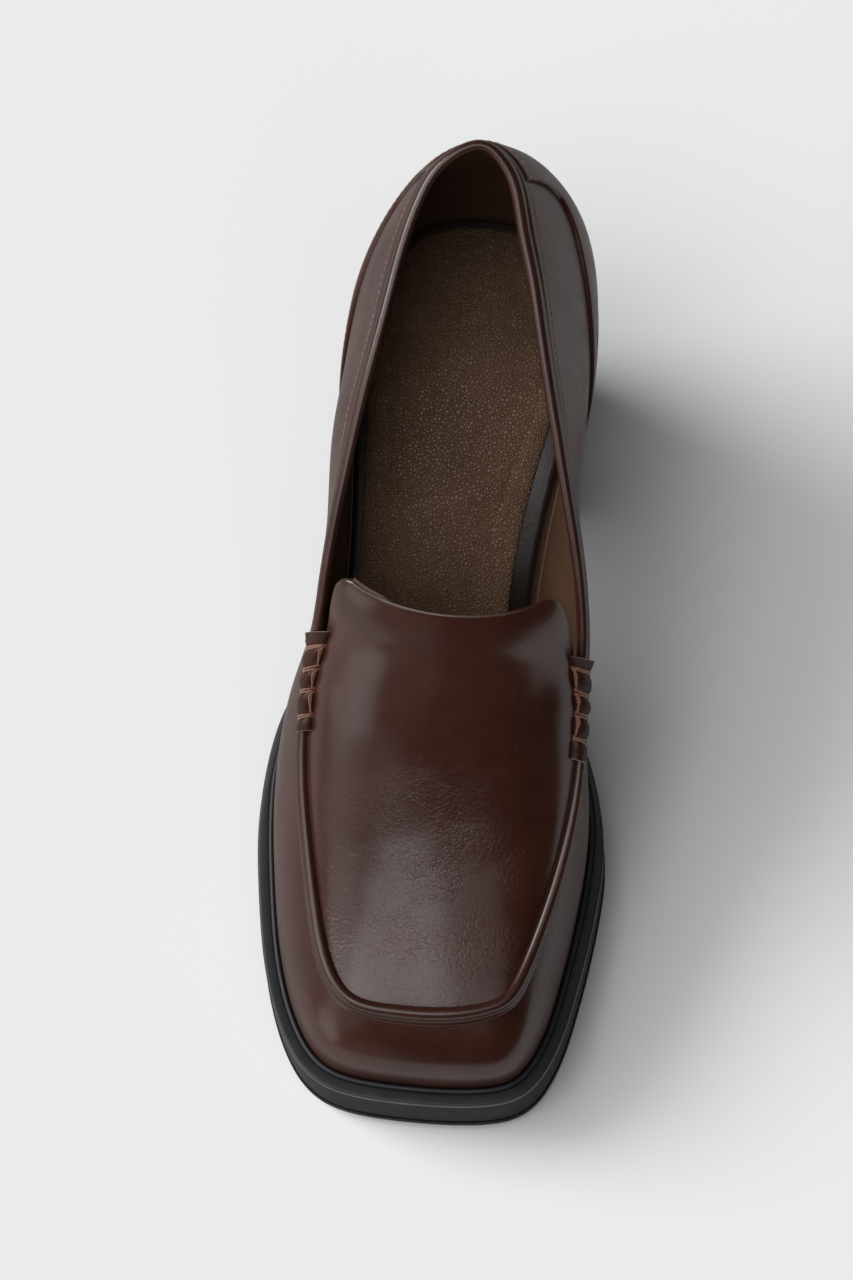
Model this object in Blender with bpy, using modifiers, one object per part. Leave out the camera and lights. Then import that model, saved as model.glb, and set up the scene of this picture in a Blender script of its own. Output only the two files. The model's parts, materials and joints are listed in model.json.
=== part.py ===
"""Heeled loafer pump, right shoe, built from its maker's pieces at real size.

The toe points to -Y, the big-toe side is +X and the shoe stands on z = 0.
"""

import math

import bmesh
import bpy
import numpy as np

MM = 0.001

# Driving dimensions of the sole unit
SOLE_LENGTH = 240.8 * MM
BALL_WIDTH = 96.9 * MM
PLATFORM_HEIGHT = 18.5 * MM
SEAT_HEIGHT = 75.0 * MM
SHANK_THICKNESS = 8.0 * MM
TOE_SPRING = 3.0 * MM
OUTSOLE_THICKNESS = 3.6 * MM
OUTSOLE_LIP = 0.3 * MM
LEDGE_WIDTH = 4.8 * MM
EDGE_ROUND = 0.6 * MM

# Driving dimensions of the heel block
HEEL_INSET = 0.6 * MM
HEEL_TAPER = 0.80
HEEL_BACK_RAKE = 4.0 * MM
HEEL_FLARE = 0.8
HEEL_CENTRE = (0.037 * BALL_WIDTH, 0.37 * SOLE_LENGTH)
HEEL_TIP_THICKNESS = 6.0 * MM

# Driving dimensions of the upper, as heights over the platform's top at the ball
COLLAR_HEIGHT = 112.0 * MM
APRON_HEIGHT = 27.0 * MM
UPPER_WALL = 2.0 * MM
WELT_HEIGHT = 2.2 * MM
BEAD_WIDTH = 1.7 * MM
BEAD_HEIGHT = 3.2 * MM
BEAD_STARTS_AT = 2.2 * MM
BEAD_FULL_AFTER = 1.5 * MM
BEAD_LEAST = 0.15

# Driving dimensions of the trimmings
BINDING_WIDTH = 3.2 * MM
BINDING_HEIGHT = 3.6 * MM
PIPING_WIDTH = 3.4 * MM
PIPING_HEIGHT = 2.0 * MM
ROLL_WIDTH = 6.0 * MM
ROLL_HEIGHT = 3.0 * MM
ROLL_INNER = 0.5
ROLL_PINCH = 0.3
ROLL_LOBES = 5
ROLL_END_SHARE = 0.08
ROLL_END_HEIGHT = 0.45
COUNTER_THICKNESS = 0.9 * MM
INSOLE_THICKNESS = 4.2 * MM
INSOLE_ROUND = 0.35
SOCK_THICKNESS = 1.8 * MM
SOCK_ROUND = 0.6
SOCK_MARGIN = 6.4 * MM

GAP = 0.3 * MM

# Where the outline's own origin stands, so that the whole shoe is centred over the frame's
PLACE = np.array([-0.3 * MM, -0.4 * MM, 0.0])

# Sole outline. along: share of the sole's length from the heel's back.
# medial, lateral: share of the ball width to either side. ledge: share of the ledge width.
OUTLINE_ROWS = (
    # along, medial, lateral, ledge
    (0.0000, 0.041, 0.041, 0.38),
    (0.0090, 0.203, -0.104, 0.38),
    (0.0390, 0.319, -0.215, 0.38),
    (0.0890, 0.376, -0.284, 0.38),
    (0.1470, 0.392, -0.314, 0.38),
    (0.2180, 0.384, -0.319, 0.36),
    (0.2965, 0.352, -0.312, 0.32),
    (0.3840, 0.315, -0.307, 0.30),
    (0.4585, 0.303, -0.327, 0.30),
    (0.5166, 0.340, -0.385, 0.34),
    (0.5580, 0.401, -0.440, 0.46),
    (0.6146, 0.461, -0.477, 0.70),
    (0.6786, 0.493, -0.489, 0.92),
    (0.7367, 0.491, -0.480, 1.00),
    (0.8030, 0.470, -0.458, 1.00),
    (0.8570, 0.446, -0.431, 1.00),
    (0.9070, 0.418, -0.391, 1.00),
    (0.9506, 0.377, -0.335, 1.02),
    (0.9800, 0.322, -0.262, 1.04),
    (0.9960, 0.230, -0.142, 1.04),
    (1.0010, 0.062, 0.062, 1.04),
)

# Side profile of the sole. rise: platform top, 0 at the ball and 1 at the seat.
# lift: underside, 0 on the ground and 1 under the seat.
PROFILE_ROWS = (
    # along, rise, lift
    (-0.05, 1.000, 1.000),
    (0.00, 1.000, 1.000),
    (0.10, 0.982, 0.990),
    (0.20, 0.927, 0.930),
    (0.30, 0.780, 0.800),
    (0.40, 0.555, 0.590),
    (0.50, 0.290, 0.345),
    (0.56, 0.165, 0.165),
    (0.62, 0.070, 0.035),
    (0.66, 0.030, 0.000),
    (0.76, 0.000, 0.000),
    (1.05, 0.000, 0.000),
)
SPRING_START = 0.80

# Top edge of the side wall: the collar from the heel's back to the side roll at row 10,
# then the apron seam round to the toe. height: share of the collar height over the platform.
RIM_ROWS = (
    # medial along, medial across, medial height, lateral along, lateral across, lateral height
    (0.0270, 0.056, 1.012, 0.0270, 0.056, 1.012),
    (0.0435, 0.134, 1.000, 0.0420, -0.038, 1.002),
    (0.0745, 0.178, 0.974, 0.0695, -0.100, 0.980),
    (0.1180, 0.206, 0.940, 0.1110, -0.144, 0.946),
    (0.1660, 0.239, 0.903, 0.1590, -0.176, 0.907),
    (0.2260, 0.271, 0.857, 0.2240, -0.209, 0.857),
    (0.2945, 0.311, 0.790, 0.2990, -0.252, 0.790),
    (0.3710, 0.355, 0.705, 0.3750, -0.284, 0.707),
    (0.4460, 0.398, 0.616, 0.4480, -0.311, 0.622),
    (0.5040, 0.419, 0.545, 0.5010, -0.326, 0.556),
    (0.5420, 0.423, 0.493, 0.5360, -0.336, 0.508),
    (0.5860, 0.416, 0.424, 0.5770, -0.338, 0.444),
    (0.6350, 0.411, 0.360, 0.6230, -0.342, 0.381),
    (0.6910, 0.398, 0.315, 0.6839, -0.332, 0.330),
    (0.7575, 0.367, 0.275, 0.7560, -0.302, 0.282),
    (0.8220, 0.324, 0.249, 0.8240, -0.266, 0.252),
    (0.8660, 0.288, 0.241, 0.8700, -0.230, 0.241),
    (0.8950, 0.247, 0.239, 0.8985, -0.184, 0.239),
    (0.9080, 0.175, 0.239, 0.9110, -0.122, 0.239),
    (0.9130, 0.110, 0.240, 0.9143, -0.040, 0.240),
    (0.9150, 0.040, 0.240, 0.9150, 0.040, 0.240),
)

# Room left round the insole and the sock, as shares of the sock margin.
INSIDE_ROWS = (
    # row, insole medial, insole lateral, sock medial, sock lateral
    (0, 0.05, 0.05, 0.55, 0.55),
    (3, 0.05, 0.05, 0.60, 0.55),
    (5, 0.10, 0.05, 0.78, 0.55),
    (7, 0.32, 0.05, 1.15, 0.48),
    (9, 0.40, 0.05, 1.25, 0.46),
    (11, 0.30, 0.05, 1.15, 0.50),
    (14, 0.05, 0.05, 0.80, 0.70),
    (20, 0.05, 0.05, 0.60, 0.60),
)

# How the side wall swells between sole and rim.
# stand, drop: how far its lower and upper thirds stay upright, as shares of its height.
# belly, lean: how far they swell outwards, as shares of the wall swell.
WALL_SWELL = 6.0 * MM
ROUND_OVER = 0.60
WALL_ROWS = (
    # stand, drop, medial belly, medial lean, lateral belly, lateral lean
    (0.33, 0.30, 0.50, 0.46, 0.50, 0.46),
    (0.33, 0.23, 0.95, 1.10, 0.20, 0.16),
    (0.33, 0.28, 0.80, 0.80, -0.06, 0.14),
    (0.33, 0.31, 0.46, 0.50, -0.06, 0.16),
    (0.33, 0.32, 0.40, 0.36, 0.10, 0.18),
    (0.33, 0.33, 0.66, 0.42, 0.40, 0.28),
    (0.33, 0.33, 1.15, 0.95, 0.86, 0.78),
    (0.33, 0.33, 1.20, 0.75, 0.94, 0.58),
    (0.33, 0.33, 1.08, 0.50, 0.78, 0.34),
    (0.33, 0.33, 0.80, 0.32, 0.44, 0.14),
    (0.36, 0.30, 0.50, 0.26, 0.16, 0.05),
    (0.40, 0.27, 0.30, 0.20, 0.06, 0.02),
    (0.44, 0.27, 0.18, 0.17, 0.05, 0.04),
    (0.48, 0.26, 0.12, 0.14, 0.06, 0.08),
    (0.52, 0.26, 0.08, 0.10, 0.07, 0.09),
    (0.54, 0.26, 0.06, 0.05, 0.06, 0.05),
    (0.56, 0.27, 0.05, 0.00, 0.05, 0.00),
    (0.57, 0.28, 0.05, 0.00, 0.05, 0.00),
    (0.57, 0.28, 0.05, 0.00, 0.05, 0.00),
    (0.57, 0.28, 0.05, 0.00, 0.05, 0.00),
    (0.57, 0.28, 0.05, 0.00, 0.05, 0.00),
)

BREAST_ROW = 5.5
NOTCH_ROW = 11
BINDING_END_ROW = 9.7
ROLL_START_ROW = 9.95
ROLL_END_ROW = 12
CORNER_ROW = 17
TOE_ROW = 20

# Apron: the vamp's top panel, from the toe corner row up to the flap's edge.
# crown: how high its middle stands over its sides, bow: how far its middle runs ahead of them,
# as shares of the apron height. Up to the notch its sides are the rim's own rows.
APRON_ROWS = (
    # crown, bow
    (0.01, 0.20),
    (0.09, 0.18),
    (0.19, 0.16),
    (0.32, 0.16),
    (0.46, 0.17),
    (0.58, 0.20),
    (0.62, 0.26),
    (0.545, 0.350),
    (0.365, 0.352),
    (0.205, 0.365),
    (0.11, 0.40),
)
# Free side edges of the flap above the notch, one row for each step up.
FLAP_ROWS = (
    # medial along, medial across, medial height, lateral along, lateral across, lateral height
    (0.5420, 0.396, 0.516, 0.5360, -0.306, 0.532),
    (0.5255, 0.384, 0.597, 0.5205, -0.291, 0.612),
    (0.5095, 0.364, 0.671, 0.5045, -0.278, 0.685),
    (0.4960, 0.334, 0.718, 0.4885, -0.256, 0.734),
)
APRON_ROUND = 0.72
FLAP_CORNER = 0.10
FLAP_STEPS = (8.0, 8.5, 9.0, 9.4, 9.7, 9.9, 10.0)
TOE_BLEND_ROWS = 3.0

# Counter overlay: how far up the wall its top edge lies, by rim row from the heel's back.
COUNTER_ROWS = (
    # row, share of the wall
    (0.0, 0.985),
    (1.72, 0.985),
    (1.80, 0.86),
    (1.92, 0.74),
    (2.10, 0.665),
    (2.5, 0.60),
    (3.0, 0.54),
    (3.5, 0.48),
    (4.0, 0.41),
    (4.5, 0.32),
    (5.0, 0.21),
    (5.5, 0.10),
    (5.75, 0.05),
)

STEPS_PER_ROW = 2
WALL_STEPS = 7


def spline(points, at, closed):
    """Points on the smooth curve through the rows of points, at row numbers."""
    count = len(points)
    system = np.eye(count)
    wanted = np.zeros_like(points)
    for i in range(0 if closed else 1, count if closed else count - 1):
        before, after = (i - 1) % count, (i + 1) % count
        system[i, before], system[i, i], system[i, after] = 1, 4, 1
        wanted[i] = 6 * (points[before] - 2 * points[i] + points[after])
    bend = np.linalg.solve(system, wanted)
    at = np.asarray(at, float)
    low = np.floor(at).astype(int)
    if not closed:
        low = np.clip(low, 0, count - 2)
    t = (at - low)[..., None]
    i, j = low % count, (low + 1) % count
    ends = (1 - t) * points[i] + t * points[j]
    return ends + ((1 - t) ** 3 - (1 - t)) * bend[i] / 6 + (t**3 - t) * bend[j] / 6


def closed_spline(points, at):
    return spline(points, at, True)


def monotone(xs, ys, x):
    """Smooth curve through (xs, ys) with no overshoot, so that flat runs stay flat."""
    xs, ys = np.asarray(xs, float), np.asarray(ys, float)
    step = np.diff(xs)
    slope = np.diff(ys) / step
    tangent = np.zeros(len(xs))
    for i in range(1, len(xs) - 1):
        if slope[i - 1] * slope[i] > 0:
            tangent[i] = 2 * slope[i - 1] * slope[i] / (slope[i - 1] + slope[i])
    x = np.clip(np.asarray(x, float), xs[0], xs[-1])
    i = np.clip(np.searchsorted(xs, x) - 1, 0, len(step) - 1)
    t = (x - xs[i]) / step[i]
    return (
        ys[i] * (2 * t**3 - 3 * t**2 + 1)
        + ys[i + 1] * (3 * t**2 - 2 * t**3)
        + tangent[i] * step[i] * (t**3 - 2 * t**2 + t)
        + tangent[i + 1] * step[i] * (t**3 - t**2)
    )


def unit(vectors):
    return vectors / np.linalg.norm(vectors, axis=-1, keepdims=True)


def both_sides(medial, lateral):
    """One closed loop of rows: down the medial side to the toe and back up the lateral."""
    return np.array(list(medial) + list(lateral[-2:0:-1]), float)


def along_of(y):
    return 0.5 - np.asarray(y) / SOLE_LENGTH


def y_of(along):
    return (0.5 - along) * SOLE_LENGTH


def spring(y):
    share = np.clip((along_of(y) - SPRING_START) / (1 - SPRING_START), 0, None)
    return TOE_SPRING * share**2


def platform_top(y):
    """Height of the surface that the upper and the insole are lasted on."""
    alongs, rises, _ = zip(*PROFILE_ROWS)
    rise = monotone(alongs, rises, along_of(y))
    return PLATFORM_HEIGHT + (SEAT_HEIGHT - PLATFORM_HEIGHT) * rise + spring(y)


def tread(y):
    """Height of the sole's underside."""
    alongs, _, lifts = zip(*PROFILE_ROWS)
    return (SEAT_HEIGHT - SHANK_THICKNESS) * monotone(alongs, lifts, along_of(y)) + spring(y)


OUTLINE = both_sides(
    [(m * BALL_WIDTH, y_of(a), g * LEDGE_WIDTH) for a, m, _, g in OUTLINE_ROWS],
    [(l * BALL_WIDTH, y_of(a), g * LEDGE_WIDTH) for a, _, l, g in OUTLINE_ROWS],
)


def rim_point(along, across, height):
    return (across * BALL_WIDTH, y_of(along), PLATFORM_HEIGHT + height * COLLAR_HEIGHT)


RIM = both_sides([rim_point(*r[:3]) for r in RIM_ROWS], [rim_point(*r[3:]) for r in RIM_ROWS])
WALL = both_sides(
    [(s, d, belly, lean) for s, d, belly, lean, _, _ in WALL_ROWS],
    [(s, d, belly, lean) for s, d, _, _, belly, lean in WALL_ROWS],
)


def outline_at(row, inset=0.0):
    """Plan points of the sole's outline at signed rows, + medial and - lateral, moved inwards."""
    row = np.asarray(row, float)
    nudge = 0.01
    point = closed_spline(OUTLINE, row)[..., :2]
    ahead = closed_spline(OUTLINE, row + nudge)[..., :2]
    behind = closed_spline(OUTLINE, row - nudge)[..., :2]
    tangent = unit(ahead - behind)
    outward = np.stack([-tangent[..., 1], tangent[..., 0]], axis=-1)
    return point - outward * np.asarray(inset)[..., None], outward


def ledge_at(row):
    return closed_spline(OUTLINE, row)[..., 2]


def wall_at(row, share):
    """Outer surface of the side wall at signed rows; share is 0 at the sole and 1 at the rim."""
    row, share = np.broadcast_arrays(np.asarray(row, float), np.asarray(share, float))
    foot, outward = outline_at(row, ledge_at(row))
    outward = np.concatenate([outward, np.zeros_like(outward[..., :1])], axis=-1)
    low = platform_top(foot[..., 1]) + GAP + BEAD_HEIGHT
    base = np.concatenate([foot, low[..., None]], axis=-1)
    rim = closed_spline(RIM, row)
    stand, drop, belly, lean = np.moveaxis(closed_spline(WALL, row), -1, 0)
    height = rim[..., 2] - base[..., 2]
    inset = np.clip(np.sum((base - rim)[..., :2] * outward[..., :2], axis=-1), 0, None)
    up = np.array([0.0, 0.0, 1.0])
    lower = base + up * (stand * height)[..., None] + outward * (belly * WALL_SWELL)[..., None]
    reach = lean * WALL_SWELL + ROUND_OVER * inset
    upper = rim - up * (drop * height)[..., None] + outward * reach[..., None]
    t = share[..., None]
    return (
        (1 - t) ** 3 * base + 3 * (1 - t) ** 2 * t * lower + 3 * (1 - t) * t**2 * upper + t**3 * rim
    )


def lasting_edge(row):
    """Foot of the side wall, hidden behind the welt."""
    foot, _ = outline_at(row, ledge_at(row))
    return np.concatenate([foot, (platform_top(foot[..., 1]) + GAP)[..., None]], axis=-1)


def flap_side(step, side):
    """The apron's edge on one side, as one curve from the toe corner to the flap's corner."""
    columns = slice(0, 3) if side > 0 else slice(3, 6)
    seam = [rim_point(*RIM_ROWS[r][columns]) for r in range(TOE_ROW, NOTCH_ROW - 1, -1)]
    free = [rim_point(*r[columns]) for r in FLAP_ROWS]
    return spline(np.array(seam + free, float), step + TOE_ROW - CORNER_ROW, False)


def apron_at(step, across):
    """Outer surface of the apron. step: rows up from the toe corner; across: -1 to 1, medial."""
    step, across = np.broadcast_arrays(np.asarray(step, float), np.asarray(across, float))
    near_edge = np.clip(step - FLAP_STEPS[2], 0, 1)
    across = across * (1 - FLAP_CORNER * (1 - np.sqrt(1 - near_edge**2)))
    seam_steps = CORNER_ROW - NOTCH_ROW
    on_seam = np.clip(step, 0, seam_steps)
    sewn = (step <= seam_steps)[..., None]
    medial = np.where(sewn, closed_spline(RIM, CORNER_ROW - on_seam), flap_side(step, 1))
    lateral = np.where(sewn, closed_spline(RIM, on_seam - CORNER_ROW), flap_side(step, -1))
    apron_rows = np.array(APRON_ROWS)
    crown, bow = np.moveaxis(spline(apron_rows, step, False), -1, 0) * APRON_HEIGHT
    bulge = np.clip(1 - across**2, 0, 1) ** APRON_ROUND
    right_share, left_share = ((1 + across) / 2)[..., None], ((1 - across) / 2)[..., None]
    surface = medial * right_share + lateral * left_share
    surface[..., 1] -= bow * bulge
    surface[..., 2] += crown * bulge
    fade = np.clip(1 - step / TOE_BLEND_ROWS, 0, 1) ** 2
    toe_row = np.where(across < 0, -1, 1) * (TOE_ROW - (TOE_ROW - CORNER_ROW) * np.abs(across))
    toe_seam = closed_spline(RIM, toe_row)
    flat = closed_spline(RIM, CORNER_ROW) * right_share + closed_spline(RIM, -CORNER_ROW) * left_share
    flat[..., 1] -= apron_rows[0, 1] * APRON_HEIGHT * bulge
    flat[..., 2] += apron_rows[0, 0] * APRON_HEIGHT * bulge
    return surface + (toe_seam - flat) * fade[..., None]


def material(name, colour, roughness):
    made = bpy.data.materials.new(name)
    made.use_nodes = True
    shader = made.node_tree.nodes["Principled BSDF"]
    shader.inputs["Base Color"].default_value = (*colour, 1.0)
    shader.inputs["Roughness"].default_value = roughness
    shader.inputs["Metallic"].default_value = 0.0
    return made


def add_mesh(name, points, faces, finish, collection):
    """A mesh object whose coincident points are welded and whose faces point outwards."""
    mesh = bpy.data.meshes.new(name)
    placed = np.asarray(points) + PLACE
    mesh.from_pydata(placed.tolist(), [], [tuple(map(int, f)) for f in faces])
    work = bmesh.new()
    work.from_mesh(mesh)
    bmesh.ops.remove_doubles(work, verts=work.verts, dist=0.002 * MM)
    bmesh.ops.recalc_face_normals(work, faces=work.faces)
    work.to_mesh(mesh)
    work.free()
    mesh.shade_smooth()
    mesh.set_sharp_from_angle(angle=math.radians(40))
    mesh.materials.append(finish)
    made = bpy.data.objects.new(name, mesh)
    collection.objects.link(made)
    return made


def grid_faces(rows, columns, start=0, closed=False):
    faces = []
    for i in range(rows - 1):
        for j in range(columns if closed else columns - 1):
            k = (j + 1) % columns
            a, b = start + i * columns, start + (i + 1) * columns
            faces.append((a + j, a + k, b + k, b + j))
    return faces


def swept(name, rings, finish, collection, closed=False):
    """A solid through a run of like rings, with capped ends unless the run is closed."""
    rings = np.asarray(rings)
    count, size = rings.shape[:2]
    faces = grid_faces(count, size, closed=True)
    if closed:
        last = (count - 1) * size
        faces += [(last + j, last + (j + 1) % size, (j + 1) % size, j) for j in range(size)]
    else:
        faces += [range(size), range(count * size - 1, (count - 1) * size - 1, -1)]
    return add_mesh(name, rings.reshape(-1, 3), faces, finish, collection)


def stacked(name, levels, finish, collection):
    """A solid through levels from top to bottom, each of stations with a medial and lateral point."""
    levels = np.asarray(levels)
    depth, stations = levels.shape[:2]
    index = np.arange(depth * stations * 2).reshape(depth, stations, 2)
    faces = []
    for i in range(stations - 1):
        for level in (0, depth - 1):
            top = index[level]
            faces.append((top[i, 0], top[i + 1, 0], top[i + 1, 1], top[i, 1]))
        for level in range(depth - 1):
            a, b = index[level], index[level + 1]
            for side in (0, 1):
                faces.append((a[i, side], a[i + 1, side], b[i + 1, side], b[i, side]))
    for level in range(depth - 1):
        a, b = index[level], index[level + 1]
        for end in (0, stations - 1):
            faces.append((a[end, 0], a[end, 1], b[end, 1], b[end, 0]))
    return add_mesh(name, levels.reshape(-1, 3), faces, finish, collection)


def thicken(sheet, thickness, outwards=False):
    shell = sheet.modifiers.new("Wall", "SOLIDIFY")
    shell.thickness = thickness
    shell.offset = 1.0 if outwards else -1.0
    shell.use_even_offset = True
    shell.use_quality_normals = True


def face_outwards(sheet, centre):
    """Turns an open sheet's faces away from a point inside it."""
    mesh = sheet.data
    away = sum((face.center - centre).dot(face.normal) * face.area for face in mesh.polygons)
    if away < 0:
        mesh.flip_normals()


def side_rows(first, last, steps=STEPS_PER_ROW):
    """Signed rows from first to last, counted as lateral below zero."""
    return np.linspace(first, last, int(round((last - first) * steps)) + 1)


def wall_normal(row, share):
    """Outward unit normals of the side wall."""
    nudge = 0.02
    high, low = np.clip(share + nudge, 0, 1), np.clip(share - nudge, 0, 1)
    around = wall_at(row + nudge, share) - wall_at(row - nudge, share)
    upwards = wall_at(row, high) - wall_at(row, low)
    return unit(np.cross(upwards, around))


def share_below_rim(row, distance):
    """Share of the side wall that lies this far below the rim, measured on the surface."""
    row, distance = np.broadcast_arrays(np.asarray(row, float), np.asarray(distance, float))
    shares = np.linspace(1, 0, 61)
    points = wall_at(row[..., None], shares)
    steps = np.linalg.norm(np.diff(points, axis=-2), axis=-1)
    run = np.concatenate([np.zeros_like(steps[..., :1]), np.cumsum(steps, axis=-1)], axis=-1)
    found = [
        np.interp(d, r, shares) for d, r in zip(distance.ravel(), run.reshape(-1, len(shares)))
    ]
    return np.array(found).reshape(row.shape)


def on_wall(name, rows, shares, lifts, finish, collection):
    """A piece that lies on the side wall, a gap above it, with a height for each point."""
    rows = np.broadcast_to(rows[:, None], shares.shape)
    points, normals = wall_at(rows, shares), wall_normal(rows, shares)
    under = points + normals * GAP
    over = under + normals * lifts[..., None]
    rings = np.concatenate([under, over[:, ::-1]], axis=1)
    return swept(name, rings, finish, collection)


def build_upper(finish, collection):
    """Side wall and apron as one sheet that meets at the seam, open at the collar and below."""
    around = side_rows(-TOE_ROW, TOE_ROW)[:-1]
    shares = np.linspace(0, 1, WALL_STEPS + 1)
    wall = [lasting_edge(around)] + [wall_at(around, s) for s in shares]
    points = np.array(wall).reshape(-1, 3)
    faces = grid_faces(len(wall), len(around), closed=True)

    steps = np.concatenate([side_rows(0, FLAP_STEPS[0])[:-1], FLAP_STEPS])
    across = np.linspace(-1, 1, 2 * (TOE_ROW - CORNER_ROW) * STEPS_PER_ROW + 1)
    grid_step, grid_across = np.meshgrid(steps, across, indexing="ij")
    apron = apron_at(grid_step, grid_across)
    faces += grid_faces(len(steps), len(across), start=len(points))
    points = np.concatenate([points, apron.reshape(-1, 3)])
    sheet = add_mesh("upper", points, faces, finish, collection)
    centre = sum((v.co for v in sheet.data.vertices), sheet.data.vertices[0].co * 0)
    face_outwards(sheet, centre / len(sheet.data.vertices))
    thicken(sheet, UPPER_WALL)
    return sheet


def build_welt(finish, collection):
    """Flat ledge round the upper's foot, with a bead on its inner side where it is wide enough."""
    around = side_rows(-TOE_ROW, TOE_ROW)[:-1]
    ledge = ledge_at(around)
    inner = ledge - GAP
    fullness = np.clip((ledge - BEAD_STARTS_AT) / BEAD_FULL_AFTER, BEAD_LEAST, 1)
    bead = BEAD_WIDTH * fullness
    rise = (BEAD_HEIGHT - WELT_HEIGHT) * fullness
    none = np.zeros_like(inner)
    section = (
        (none, none),
        (none, none + WELT_HEIGHT - EDGE_ROUND),
        (none + EDGE_ROUND * 0.3, none + WELT_HEIGHT - EDGE_ROUND * 0.3),
        (np.minimum(none + EDGE_ROUND, inner - 1.15 * bead), none + WELT_HEIGHT),
        (inner - bead, WELT_HEIGHT - 0.3 * rise),
        (inner - 0.85 * bead, WELT_HEIGHT + 0.65 * rise),
        (inner - 0.50 * bead, WELT_HEIGHT + rise),
        (inner - 0.15 * bead, WELT_HEIGHT + 0.65 * rise),
        (inner, WELT_HEIGHT - 0.3 * rise),
        (inner, none),
    )
    rings = []
    for inset, height in section:
        plan, _ = outline_at(around, inset)
        floor = platform_top(plan[:, 1]) + GAP
        rings.append(np.concatenate([plan, (floor + height)[:, None]], axis=-1))
    return swept("welt", np.stack(rings, axis=1), finish, collection, closed=True)


def flat_inset(value):
    return lambda row: np.full(np.shape(row), value)


def inside_upper(piece, more):
    """Inset of a piece inside the upper's foot: 1 for the insole and 3 for the sock."""
    columns = list(zip(*INSIDE_ROWS))

    def inset(row):
        medial = monotone(columns[0], columns[piece], np.abs(row))
        lateral = monotone(columns[0], columns[piece + 1], np.abs(row))
        blend = np.clip(0.5 + np.sign(row) * np.abs(row) / 4, 0, 1)
        near_toe = np.clip(0.5 + np.sign(row) * (TOE_ROW - np.abs(row)) / 4, 0, 1)
        blend = np.where(np.abs(row) > TOE_ROW / 2, near_toe, blend)
        room = medial * blend + lateral * (1 - blend)
        return ledge_at(row) + UPPER_WALL + room * SOCK_MARGIN + more

    return inset


def plan_levels(rows, insets_and_heights):
    """Levels for stacked(): the outline at each inset, with a height function of y."""
    levels = []
    for inset, height in insets_and_heights:
        sides = []
        for sign in (1, -1):
            plan, _ = outline_at(rows * sign, inset(rows * sign))
            sides.append(np.concatenate([plan, height(plan[:, 1])[:, None]], axis=-1))
        levels.append(np.stack(sides, axis=1))
    return levels


def outsole_top(y):
    return tread(y) + OUTSOLE_THICKNESS


def build_platform(finish, collection):
    rows = side_rows(0, TOE_ROW)
    levels = (
        (flat_inset(0.0), platform_top),
        (flat_inset(0.0), lambda y: outsole_top(y) + GAP + EDGE_ROUND),
        (flat_inset(EDGE_ROUND), lambda y: outsole_top(y) + GAP),
    )
    return stacked("platform", plan_levels(rows, levels), finish, collection)


def build_outsole(finish, collection):
    rows = np.concatenate([[BREAST_ROW + 0.1], side_rows(BREAST_ROW + 0.5, TOE_ROW)])
    levels = (
        (flat_inset(-OUTSOLE_LIP), outsole_top),
        (flat_inset(-OUTSOLE_LIP), lambda y: tread(y) + 2 * EDGE_ROUND),
        (flat_inset(2 * EDGE_ROUND - OUTSOLE_LIP), tread),
    )
    return stacked("outsole", plan_levels(rows, levels), finish, collection)


def heel_level(rows, height, inset=0.0):
    """The heel's outline at one height, narrowing from the seat towards the ground."""
    sides = []
    for sign in (1, -1):
        plan, _ = outline_at(rows * sign, np.full(rows.shape, HEEL_INSET + inset))
        level = height(plan[:, 1])
        down = np.clip(1 - level / (SEAT_HEIGHT - SHANK_THICKNESS), 0, 1)
        narrow = (1 - (1 - HEEL_TAPER) * down**HEEL_FLARE)[:, None]
        plan = HEEL_CENTRE + (plan - HEEL_CENTRE) * narrow
        plan[:, 1] -= HEEL_BACK_RAKE * down
        sides.append(np.concatenate([plan, level[:, None]], axis=-1))
    return np.stack(sides, axis=1)


def build_heel(finish, tip_finish, collection):
    rows = side_rows(0, BREAST_ROW)
    split = HEEL_TIP_THICKNESS + GAP
    heights = [outsole_top]
    for share in (0.75, 0.5, 0.25, 0.0):
        heights.append(lambda y, s=share: split + s * (outsole_top(y) - split))
    block = [heel_level(rows, h) for h in heights]
    stacked("heel_block", block, finish, collection)
    tip = [
        heel_level(rows, lambda y: HEEL_TIP_THICKNESS + 0 * y),
        heel_level(rows, lambda y: EDGE_ROUND + 0 * y),
        heel_level(rows, lambda y: 0 * y, EDGE_ROUND),
    ]
    stacked("heel_tip", tip, tip_finish, collection)


def build_insole(finish, collection):
    rows = side_rows(0, TOE_ROW)
    edge = INSOLE_ROUND * INSOLE_THICKNESS
    levels = (
        (inside_upper(1, edge), insole_top),
        (inside_upper(1, 0.3 * edge), lambda y: insole_top(y) - 0.3 * edge),
        (inside_upper(1, 0.0), lambda y: insole_top(y) - edge),
        (inside_upper(1, 0.0), lambda y: platform_top(y) + GAP),
    )
    return stacked("insole", plan_levels(rows, levels), finish, collection)


def insole_top(y):
    return platform_top(y) + GAP + INSOLE_THICKNESS


def build_sock(finish, collection):
    rows = side_rows(0, TOE_ROW)
    edge = SOCK_ROUND * SOCK_THICKNESS
    levels = (
        (inside_upper(3, edge), lambda y: insole_top(y) + GAP + SOCK_THICKNESS),
        (inside_upper(3, 0.0), lambda y: insole_top(y) + GAP + SOCK_THICKNESS - edge),
        (inside_upper(3, 0.0), lambda y: insole_top(y) + GAP),
    )
    return stacked("sock", plan_levels(rows, levels), finish, collection)


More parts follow.
